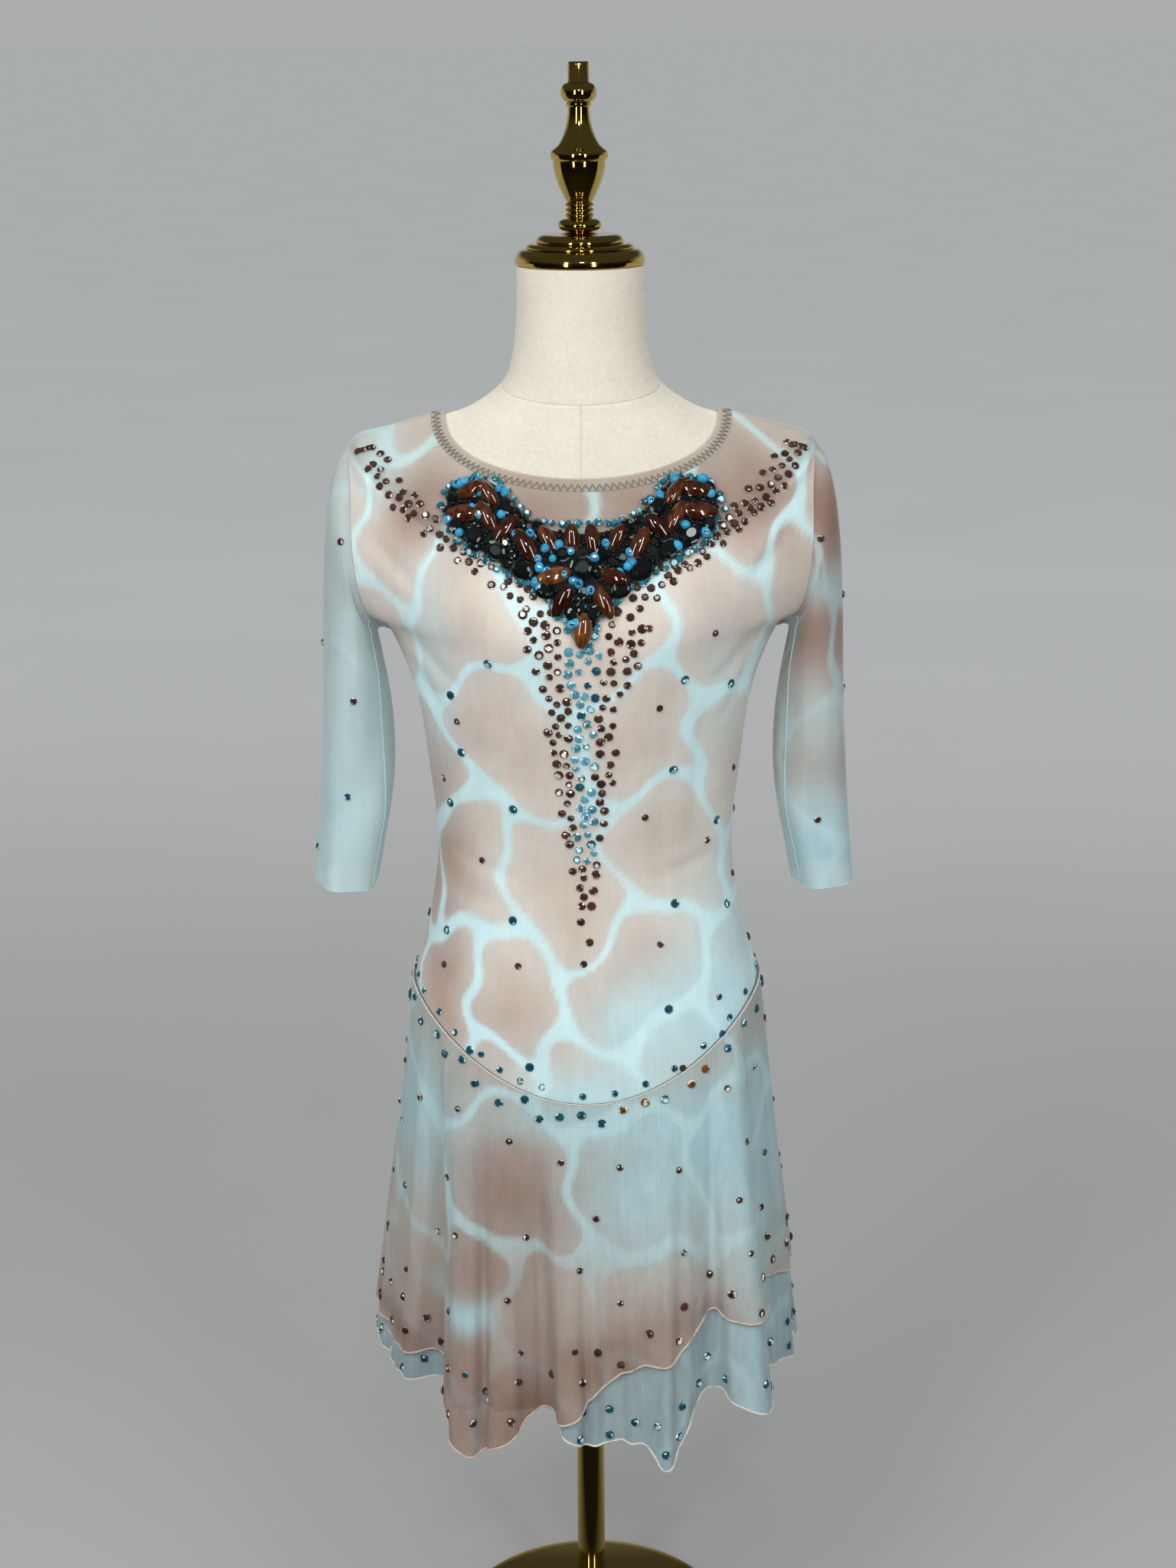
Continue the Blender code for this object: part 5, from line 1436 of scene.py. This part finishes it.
def bodice_and_sleeve_stones(rng, stones, lines):
    """Teal stones on the pale lines in front and brown ones in the cells, and both behind and aside."""
    front, back = panel(-1), panel(1)
    aside, z = abs(front.points[:, :, 0]), front.points[:, :, 2]
    (low, high), (near, far) = FRONT_HEIGHTS, FRONT_ASIDE
    clear = (z > low) & (z < high) & (aside > near) & (aside < far)
    yield from sprinkle(rng, front, clear & (lines > LINE_LEAST), ON_LINES, stones.large, lambda *_: "teal")
    yield from sprinkle(rng, front, clear & (lines < CELL_MOST), IN_CELLS, stones.small, lambda *_: "brown")
    yield from sprinkle(rng, back, back.points[:, :, 2] < BACK_STONES_TOP, ON_BACK, stones.large,
                        lambda *_: "teal" if rng.random() < 0.5 else "brown")
    for hand in (-1, 1):
        surface = sleeve(hand)
        out = surface.normals[:, :, 0] * hand > SLEEVE_TURNED
        where = ON_SLEEVE._replace(seed=ON_SLEEVE.seed + hand)
        yield from sprinkle(rng, surface, out & (surface.points[:, :, 2] < SLEEVE_STONES_TOP), where,
                            stones.small, lambda k, _: "teal" if k % 2 else "brown")


def seam_and_skirt_stones(rng, stones):
    """The stones along the yoke seam and over the skirt's layers, in front and behind."""
    for side in (-1, 1):
        cloths = {"over": skirt(side, "over"), "under": skirt(side, "under"), "bodice": panel(side)}
        for s in SPRINKLES:
            def colour(_, foot):
                if s.amber and side < 0 and AMBER_FROM < foot[0] < AMBER_TO and rng.random() < s.amber:
                    return "amber"
                chosen = rng.random() < s.brown if 0 < s.brown < 1 else s.brown
                return "brown" if chosen else "teal"
            surface = cloths[s.cloth]
            row = np.arange(len(surface.points))[:, None] + np.zeros(surface.points.shape[1], int)
            yield from sprinkle(rng, surface, (row > s.above) & (row < s.below),
                                Scatter(s.spacing, s.count, s.seed + side), getattr(stones, s.size), colour)


def stone_places(stones, cloth_share):
    """Every rhinestone's place, in four colours."""
    rng = np.random.default_rng(3)
    sizes = np.array((stones.small, 0.5 * (stones.small + stones.large), stones.large))
    lines = dye_masks("bodice_front", cloth_share, -1)["line"]
    made = {"brown": [], "teal": [], "pale": [], "amber": []}
    for group in (band_stones(rng, stones.spacing, sizes), column_stones(rng, stones.spacing, sizes),
                  bodice_and_sleeve_stones(rng, stones, lines), seam_and_skirt_stones(rng, stones)):
        for colour, stone in group:
            made[colour].append(stone)
    return made


# Form and stand


def form_body(look):
    """The padded form: one closed body with a sewn front seam and a sewn neck seam."""
    turns = np.sort(np.concatenate((np.linspace(0, 2 * np.pi, FORM_COLUMNS, endpoint=False),
                                    FRONT_TURN + np.array(FORM_SEAM_TURNS))))
    levels = [np.linspace(*span) for span in FORM_SPANS] + [NECK_SEAM_ROW + np.array(FORM_NECK_LEVELS)]
    levels = np.unique(np.round(np.concatenate(levels), 5))
    grid = np.array([form_ring(level, turns) for level in levels])
    normals = facing(grid_normals(grid, wrap=True), grid)
    normals[0, :, 2] = normals[-1, :, 2] = 0.0
    deep = BodyRow(*smooth_rows(BODY, levels).T).inset[:, None]
    depth, half = FRONT_SEAM
    seam = depth * hump(turns - FRONT_TURN, half)[None, :] * (levels < NECK_SEAM_ROW)[:, None]
    depth, half = NECK_SEAM
    seam = seam + depth * hump(levels - NECK_SEAM_ROW, half)[:, None]
    grid = grid - (deep + seam)[:, :, None] * normals
    rows, columns = grid.shape[:2]
    points = grid.reshape(-1, 3)
    walls = cloth_faces(rows, columns, True)[:(rows - 1) * columns]
    faces = outward(walls, points, 5 * columns, normals[5, 0])
    ends = [list(range(columns)), [(rows - 1) * columns + j for j in range(columns)]]
    form = sewn("dress_form_cover", points, faces + ends, look, "linen_cover", "form_torso")
    shell = bmesh.new()
    shell.from_mesh(form.data)
    bmesh.ops.recalc_face_normals(shell, faces=shell.faces)
    shell.to_mesh(form.data)
    shell.free()
    form.data.set_sharp_from_angle(angle=SHARP)
    return form


def turned(node, profile, sides, look):
    """A turned brass piece, closed at both ends."""
    thing = lathe(sides, profile)
    bpy.ops.object.shade_smooth_by_angle(angle=SHARP)
    thing.name = thing.data.name = node + "_brass"
    thing.data.materials.append(look)
    settle(thing, node, "polished_brass")


def rounding(radius, height, draw, climb, turns):
    """A rounded edge: the radius draws in, and the height climbs, as the turn goes to 90 degrees."""
    turns = np.radians(turns)
    return list(zip(radius - draw * (1 - np.cos(turns)), height + climb * np.sin(turns)))


def cap_profile():
    """Stacked discs of the neck cap, each with softly rolled edges."""
    profile, foot = [], CAP_FOOT
    for radius, height, soft in CAP_STEPS:
        under = CAP_UNDER * height
        profile += rounding(radius, foot + under, CAP_UNDERCUT, under, np.linspace(-90, 0, 5))
        profile += rounding(radius, foot + under, soft, height - under, np.linspace(6, 90, 12))
        foot += height
    return profile


def finial_profile():
    """The finial's turned bulbs and long sweeps."""
    profile = []
    for piece in FINIAL:
        if isinstance(piece, Bulb):
            profile += rounding(piece.radius, piece.middle, piece.radius - piece.waist, piece.half,
                                np.linspace(-90, 90, 11))
        elif isinstance(piece, Sweep):
            share = np.linspace(0, 1, 13)
            bent = np.sin(np.pi / 2 * share) ** piece.bend
            profile += zip(piece.low_radius + (piece.top_radius - piece.low_radius) * bent,
                           piece.low + (piece.top - piece.low) * share)
        else:
            profile.append(piece)
    return [(radius, FINIAL_FOOT + height) for radius, height in profile]


def base_profile():
    """The base: a rounded rim, a low dome and the flange that holds the pole."""
    dome_foot = BASE_RADIUS - BASE_ROUND
    share = np.linspace(0, 1, 17)
    dome = zip(dome_foot - (dome_foot - FLANGE_RADIUS) * share,
               BASE_RIM + (BASE_DOME - BASE_RIM) * np.sin(np.pi / 2 * share))
    return ([(BASE_RADIUS - 0.001, 0.0), (BASE_RADIUS - 0.0003, 0.0003), (BASE_RADIUS, 0.001)]
            + rounding(BASE_RADIUS, BASE_RIM - BASE_ROUND, BASE_ROUND, BASE_ROUND, np.linspace(0, 60, 4))
            + list(dome)
            + rounding(FLANGE_RADIUS, FLANGE_TOP - FLANGE_ROUND, FLANGE_ROUND, FLANGE_ROUND,
                       np.linspace(0, 90, 6)))


def pole_profile():
    foot, top = FLANGE_TOP + SEAM_GAP, BODY[FORM_FOOT_ROW].z_edge - SEAM_GAP
    return [(POLE_RADIUS, height) for height in np.linspace(foot, top, 4)]


# Studio

FLOOR_REACH, FLOOR_DROP = 400.0, 0.0004
CAMERA_PLACE = (0.0028, -1.9836, 1.4389)
CAMERA_TILT, CAMERA_ROLL = 73.0, -0.49
CAMERA_LENS, CAMERA_FILM = 56.25, 36.0
# Two softboxes from above on both sides and one behind, two strips that the brass mirrors, and a small
# bright lamp that gives the stones their highlights. Power is a share of the key light's.
Lamp = namedtuple("Lamp", "name place aim_z width height power mirrored")
LAMPS = table(
    Lamp,
    ("left_softbox", (-1.10, -1.45, 2.45), 1.10, 1.1, 1.1, 1.15, False),
    ("right_softbox", (1.10, -1.45, 2.45), 1.10, 1.1, 1.1, 0.60, False),
    ("left_strip", (-1.00, -2.20, 1.50), 1.10, 0.22, 1.6, 0.42, True),
    ("right_strip", (1.00, -2.20, 1.50), 1.10, 0.22, 1.6, 0.42, True),
    ("back_softbox", (0.30, 2.60, 2.60), 0.85, 1.6, 1.2, 0.90, False),
    ("spark", (0.15, -2.60, 2.45), 1.10, 0.20, 0.20, 0.32, True))
# What the brass mirrors: a dark room, its paler far wall, a dim ceiling and a dark floor in front; the
# floor's dark colour is a painted reflection, which only glossy rays see.
ROOM, FAR_WALL, CEILING, DIM_FLOOR_REFLECTION = (0.010, 0.009, 0.008), (0.42,) * 3, (0.06,) * 3, (0.012,) * 3


def painted_floor(settings):
    """Matt floor paint, rolled on: pale, a little cloudy, 0.8 m wide, and paler far from the stand as painted
    light.
    """
    look, tree = new_look("painted_studio_floor")
    place = add(tree, "TexCoord", out="Object")
    cloud = add(tree, "TexNoise", {"Scale": 1.2, "Detail": 2.0, "Vector": place}, "Fac")
    away = add(tree, "VectorMath", {0: place}, "Value", operation="LENGTH")
    # Painted light: the floor's colour grows paler with distance from the stand.
    far = add(tree, "MapRange", {0: away, 1: 1.0, 2: 5.0}, interpolation_type="SMOOTHSTEP")
    paint = add(tree, "Mix", {0: far, 6: rgba(settings.floor_near), 7: rgba(settings.floor_far)}, **COLOURS)
    paint = levelled(tree, paint, cloud, 0.3, 0.7, 0.97, 1.0)
    # Painted reflection: glossy rays see the floor in front in a dim colour, so the brass mirrors a dim
    # floor, as in a room lit only round the dress.
    front = add(tree, "MapRange", {0: add(tree, "SeparateXYZ", {0: place}, 1), 1: -0.15, 2: 0.25, 3: 1.0,
                                   4: 0.0})
    dim = add(tree, "Math", {0: front, 1: add(tree, "LightPath", out="Is Glossy Ray")},
              operation="MULTIPLY")
    paint = add(tree, "Mix", {0: dim, 6: paint, 7: rgba(DIM_FLOOR_REFLECTION)}, **COLOURS)
    wire(tree.nodes[SHADER], {"Roughness": 0.9, "Specular IOR Level": 0.0, "Base Color": paint})
    return look


def studio_floor(settings):
    bpy.ops.object.select_all(action="DESELECT")
    bpy.ops.mesh.primitive_plane_add(size=2 * FLOOR_REACH, location=(0, 0, 0))
    floor = bpy.context.object
    edit_all()
    bpy.ops.mesh.subdivide(number_cuts=6)
    bpy.ops.transform.translate(value=(0, 0, -FLOOR_DROP))
    bpy.ops.object.mode_set(mode="OBJECT")
    floor.name = floor.data.name = "studio_floor"
    floor.data.materials.append(painted_floor(settings))


def studio_world(settings):
    """Plain grey for the camera, soft light for cloth, and a darker room for what the brass mirrors."""
    world = bpy.data.worlds.new("studio_room")
    bpy.context.scene.world = world
    world.use_nodes = True
    tree = world.node_tree
    way = add(tree, "TexCoord", out="Generated")
    back, up = (add(tree, "SeparateXYZ", {0: way}, axis) for axis in (1, 2))
    seen = rgba(ROOM)
    for place, start, end, colour in ((back, 0.15, 0.50, FAR_WALL), (up, 0.12, 0.36, CEILING)):
        share = add(tree, "MapRange", {0: place, 1: start, 2: end})
        seen = add(tree, "Mix", {0: share, 6: seen, 7: rgba(colour)}, **COLOURS)
    share = add(tree, "MapRange", {0: up, 1: 0.0, 2: 1.0})
    low, high = (rgba((light,) * 3) for light in (settings.horizon, settings.sky))
    soft = add(tree, "Mix", {0: share, 6: low, 7: high}, **COLOURS)
    for ray, colour in (("Is Diffuse Ray", soft), ("Is Camera Ray", rgba(settings.backdrop))):
        seen = add(tree, "Mix", {0: add(tree, "LightPath", out=ray), 6: seen, 7: colour}, **COLOURS)
    wire(tree.nodes["Background"], {"Color": seen})


def studio_lights(settings):
    for lamp in LAMPS:
        light = bpy.data.lights.new(lamp.name, "AREA")
        light.shape, light.size, light.size_y = "RECTANGLE", lamp.width, lamp.height
        light.energy = lamp.power * settings.key
        hung = bpy.data.objects.new(lamp.name, light)
        bpy.context.collection.objects.link(hung)
        hung.location = lamp.place
        ahead = Vector((0, 0, lamp.aim_z)) - Vector(lamp.place)
        hung.rotation_euler = ahead.to_track_quat("-Z", "Y").to_euler()
        hung.visible_glossy = lamp.mirrored
        hung.visible_camera = False


def studio_camera():
    """The photograph's viewing angle, at the stand's height."""
    lens = bpy.data.cameras.new("camera")
    lens.sensor_width, lens.lens = CAMERA_FILM, CAMERA_LENS
    camera = bpy.data.objects.new("camera", lens)
    bpy.context.collection.objects.link(camera)
    tilt, roll = (Matrix.Rotation(math.radians(turn), 4, axis)
                  for turn, axis in ((CAMERA_TILT, "X"), (CAMERA_ROLL, "Z")))
    camera.matrix_world = Matrix.Translation(CAMERA_PLACE) @ tilt @ roll
    bpy.context.scene.camera = camera


# Operators


class BodiceOperator(bpy.types.Operator):
    """Sews the bodice's front and back and the turned neckline edge"""
    bl_idname = "skating_dress.bodice"
    bl_label = "Bodice"

    def execute(self, context):
        dyes = context.scene.dress_cloth
        mesh = dyed_mesh("airbrushed_stretch_mesh", dyes.ground, dyes, streak_depth=0.035,
                         grain_depth=0.028)
        edge = dyed_mesh("turned_mesh_edge", dyes.edge, dyes, streak_depth=0.02, grain_depth=0.10)
        for side, name in ((-1, "bodice_front"), (1, "bodice_back")):
            cloth(name, mesh, "bodice_mesh", dye_masks(name, dyes.yoke_cover, side))
        cloth("neck_band", edge, "bodice_mesh", dye_masks("neck_band", NECK_BAND_COVER))
        return {"FINISHED"}


class SleeveOperator(bpy.types.Operator):
    """Sews both sleeves"""
    bl_idname = "skating_dress.sleeves"
    bl_label = "Sleeves"

    def execute(self, context):
        dyes = context.scene.dress_cloth
        mesh = dyed_mesh("sheer_sleeve_mesh", dyes.ground, dyes, streak_depth=0.04, grain_depth=0.12)
        for name in ("sleeve_left", "sleeve_right"):
            cloth(name, mesh, "sleeve_mesh", dye_masks(name, dyes.sleeve_cover))
        return {"FINISHED"}


class SkirtOperator(bpy.types.Operator):
    """Sews both layers of the skirt, with their rolled hems"""
    bl_idname = "skating_dress.skirts"
    bl_label = "Skirts"

    def execute(self, context):
        dyes = context.scene.dress_cloth
        # The upper skirt's ground carries painted shade: it is deeper than its dye, for the light that falls
        # off towards the hem.
        upper = dyed_mesh("sheer_upper_skirt_mesh", dyes.over_ground_with_shade, dyes, streak_depth=0.065,
                          grain_depth=0.16)
        # The lower layer's ground carries painted shade: it is darker than its dye, for the shadow under the
        # upper layer.
        lower = dyed_mesh("dyed_lower_skirt_mesh", dyes.ice, dyes, streak_depth=0.09, grain_depth=0.08)
        tan = spun_thread("tan_overlock_thread", dyes.hem)
        cream = spun_thread("cream_overlock_thread", dyes.thread)
        for layer, look, share, thread in (("over", upper, dyes.over_cover, tan),
                                           ("under", lower, dyes.under_cover, cream)):
            for side, end in ((-1, "front"), (1, "back")):
                name = f"{layer}skirt_{end}"
                roll = tube(rolled_edge(skirt(side, layer)), HEM_ROLL, 8)
                hem = joined(name + "_hem", [roll], thread, "thread")
                cloth(name, look, f"{layer}skirt_mesh", dye_masks(name, share))
        return {"FINISHED"}


class SewingOperator(bpy.types.Operator):
    """Adds the yoke cord, the neckline stitching and the sleeve seams"""
    bl_idname = "skating_dress.sewing"
    bl_label = "Sewing"

    def execute(self, context):
        dyes = context.scene.dress_cloth
        for name, lines, thread, colour in (
                ("yoke_seam_cord", yoke_cord(), "white_cord_thread", dyes.thread),
                ("neckline_stitches", neckline_stitches(), "grey_neckline_thread", dimmed(dyes.thread, 0.27)),
                ("sleeve_seams", sleeve_seams(), "pale_seam_thread", dyes.aqua)):
            joined(name, lines, spun_thread(thread, colour), "thread")
        return {"FINISHED"}


class CollarOperator(bpy.types.Operator):
    """Sets the beaded collar on its backing"""
    bl_idname = "skating_dress.collar"
    bl_label = "Collar"

    def execute(self, context):
        stones = context.scene.dress_stones
        backing = collar_backing(spun_thread("black_backing_felt", linear("0E0C0A")))
        rng = np.random.default_rng(17)
        ovals = oval_settings(OVALS, rng, rise=0.42)
        cut = oval_settings(CUT_STONES, rng, rise=0.30)
        taken = [(o.x * hand, o.z, share * (o.length + o.width))
                 for kind, share in ((OVALS, 0.25), (CUT_STONES, 0.20)) for o in kind for hand in (1, -1)]
        rims = rim_settings(stones.small, rng)
        black, turquoise, little = collar_fill(rng, taken)
        # Every other turquoise bead carries a small stone.
        eyes = [round_setting(s.foot + 0.74 * s.height * s.normal, s.normal, 1.15 * s.half_width, s.turn, 0.8)
                for s in turquoise[::2]]
        tiger = banded_stone("polished_tiger_stone", stones.tiger, dimmed(stones.amber, 0.85))
        # The second colour of each foiled stone is its painted glint, and the last number the share of facets
        # painted with it.
        teal = foiled_stone("foiled_teal_glass", stones.rim, linear("C4EEF6"), painted_glint_share=0.24)
        jet = foiled_stone("cut_black_glass", stones.black, linear("C2CECB"), painted_glint_share=0.10)
        blue = foiled_stone("foiled_blue_glass", linear("1C5F86"), linear("D4F0F6"), painted_glint_share=0.35)
        turquoise_glass = glazed_bead("turquoise_glass", stones.turquoise)
        black_glass = glazed_bead("black_glass", stones.black)
        for seed, (name, shape, places, look, slot, smooth) in enumerate((
                ("oval_stones", round_bead(18, 14, pointed=True), ovals, tiger, "brown_stones", True),
                ("rim_stones", facet_stone(8), rims, teal, "rhinestones", False),
                ("black_stones", facet_stone(10, CUT), cut + black, jet, "brown_stones", False),
                ("turquoise_beads", round_bead(12, 8), turquoise, turquoise_glass, "turquoise_beads", True),
                ("bead_stones", facet_stone(6), eyes, blue, "rhinestones", False),
                ("small_beads", round_bead(8, 5), little, black_glass, "brown_stones", True)), start=1):
            set_stones("collar_" + name, shape, places, look, slot, seed, smooth)
        return {"FINISHED"}


class RhinestoneOperator(bpy.types.Operator):
    """Sets the stones in the bands, in the pointed column and scattered over the cloth"""
    bl_idname = "skating_dress.rhinestones"
    bl_label = "Rhinestones"

    def execute(self, context):
        stones = context.scene.dress_stones
        places = stone_places(stones, context.scene.dress_cloth.yoke_cover)
        # Each glass's second colour is its painted glint, and the last number the share of facets painted
        # with it.
        for seed, (colour, glass, bright, painted_glint_share) in enumerate((
                ("brown", "foiled_brown_glass", "FBF2EE", 0.15),
                ("teal", "foiled_deep_teal_glass", "D6F6FA", 0.22),
                ("pale", "coated_aqua_glass", "E6FAFF", 0.24),
                ("amber", "foiled_amber_glass", "F6E2BE", 0.30)), start=7):
            look = foiled_stone(glass, getattr(stones, colour), linear(bright), painted_glint_share)
            set_stones(colour + "_rhinestones", facet_stone(8), places[colour], look, "rhinestones", seed)
        return {"FINISHED"}


class FormOperator(bpy.types.Operator):
    """Covers the dress form"""
    bl_idname = "skating_dress.form"
    bl_label = "Dress form"

    def execute(self, context):
        form = form_body(woven_linen("woven_linen_cover", context.scene.dress_stand.linen))
        return {"FINISHED"}


class BrassOperator(bpy.types.Operator):
    """Turns the finial, the neck cap, the pole and the base"""
    bl_idname = "skating_dress.brass"
    bl_label = "Brass stand"

    def execute(self, context):
        settings = context.scene.dress_stand
        look = polished_brass("turned_polished_brass", settings.brass)
        for node, profile in (("base_disc", base_profile()), ("neck_cap", cap_profile()),
                              ("finial", finial_profile()), ("pole", pole_profile())):
            turned(node, profile, settings.sides, look)
        return {"FINISHED"}


class StudioOperator(bpy.types.Operator):
    """Lays the floor, sets the lights and places the camera"""
    bl_idname = "skating_dress.studio"
    bl_label = "Studio"

    def execute(self, context):
        settings = context.scene.dress_studio
        studio_floor(settings)
        studio_world(settings)
        studio_lights(settings)
        studio_camera()
        context.scene.view_settings.view_transform = "Standard"
        return {"FINISHED"}


class DressPanel(bpy.types.Panel):
    """Lists the dress's settings and the steps that make it"""
    bl_idname = "VIEW3D_PT_skating_dress"
    bl_label = "Skating dress"
    bl_space_type = "VIEW_3D"
    bl_region_type = "UI"
    bl_category = "Skating dress"

    def draw(self, context):
        for group in SETTINGS:
            box = self.layout.box()
            held = getattr(context.scene, group)
            for name in held.bl_rna.properties.keys():
                if name not in ("name", "rna_type"):
                    box.prop(held, name)
        for step in STEPS:
            self.layout.operator(step.bl_idname)


SETTINGS = {"dress_cloth": ClothSettings, "dress_stones": StoneSettings, "dress_stand": StandSettings,
            "dress_studio": StudioSettings}
STEPS = [BodiceOperator, SleeveOperator, SkirtOperator, SewingOperator, CollarOperator, RhinestoneOperator,
         FormOperator, BrassOperator, StudioOperator]


def register():
    for kind in (*SETTINGS.values(), *STEPS, DressPanel):
        bpy.utils.register_class(kind)
    for name, kind in SETTINGS.items():
        setattr(bpy.types.Scene, name, PointerProperty(type=kind))


def unregister():
    for name in SETTINGS:
        delattr(bpy.types.Scene, name)
    for kind in (DressPanel, *reversed(STEPS), *reversed(list(SETTINGS.values()))):
        bpy.utils.unregister_class(kind)


def main():
    register()
    for step in STEPS:
        group, name = step.bl_idname.split(".")
        getattr(getattr(bpy.ops, group), name)()


if __name__ == "__main__":
    main()
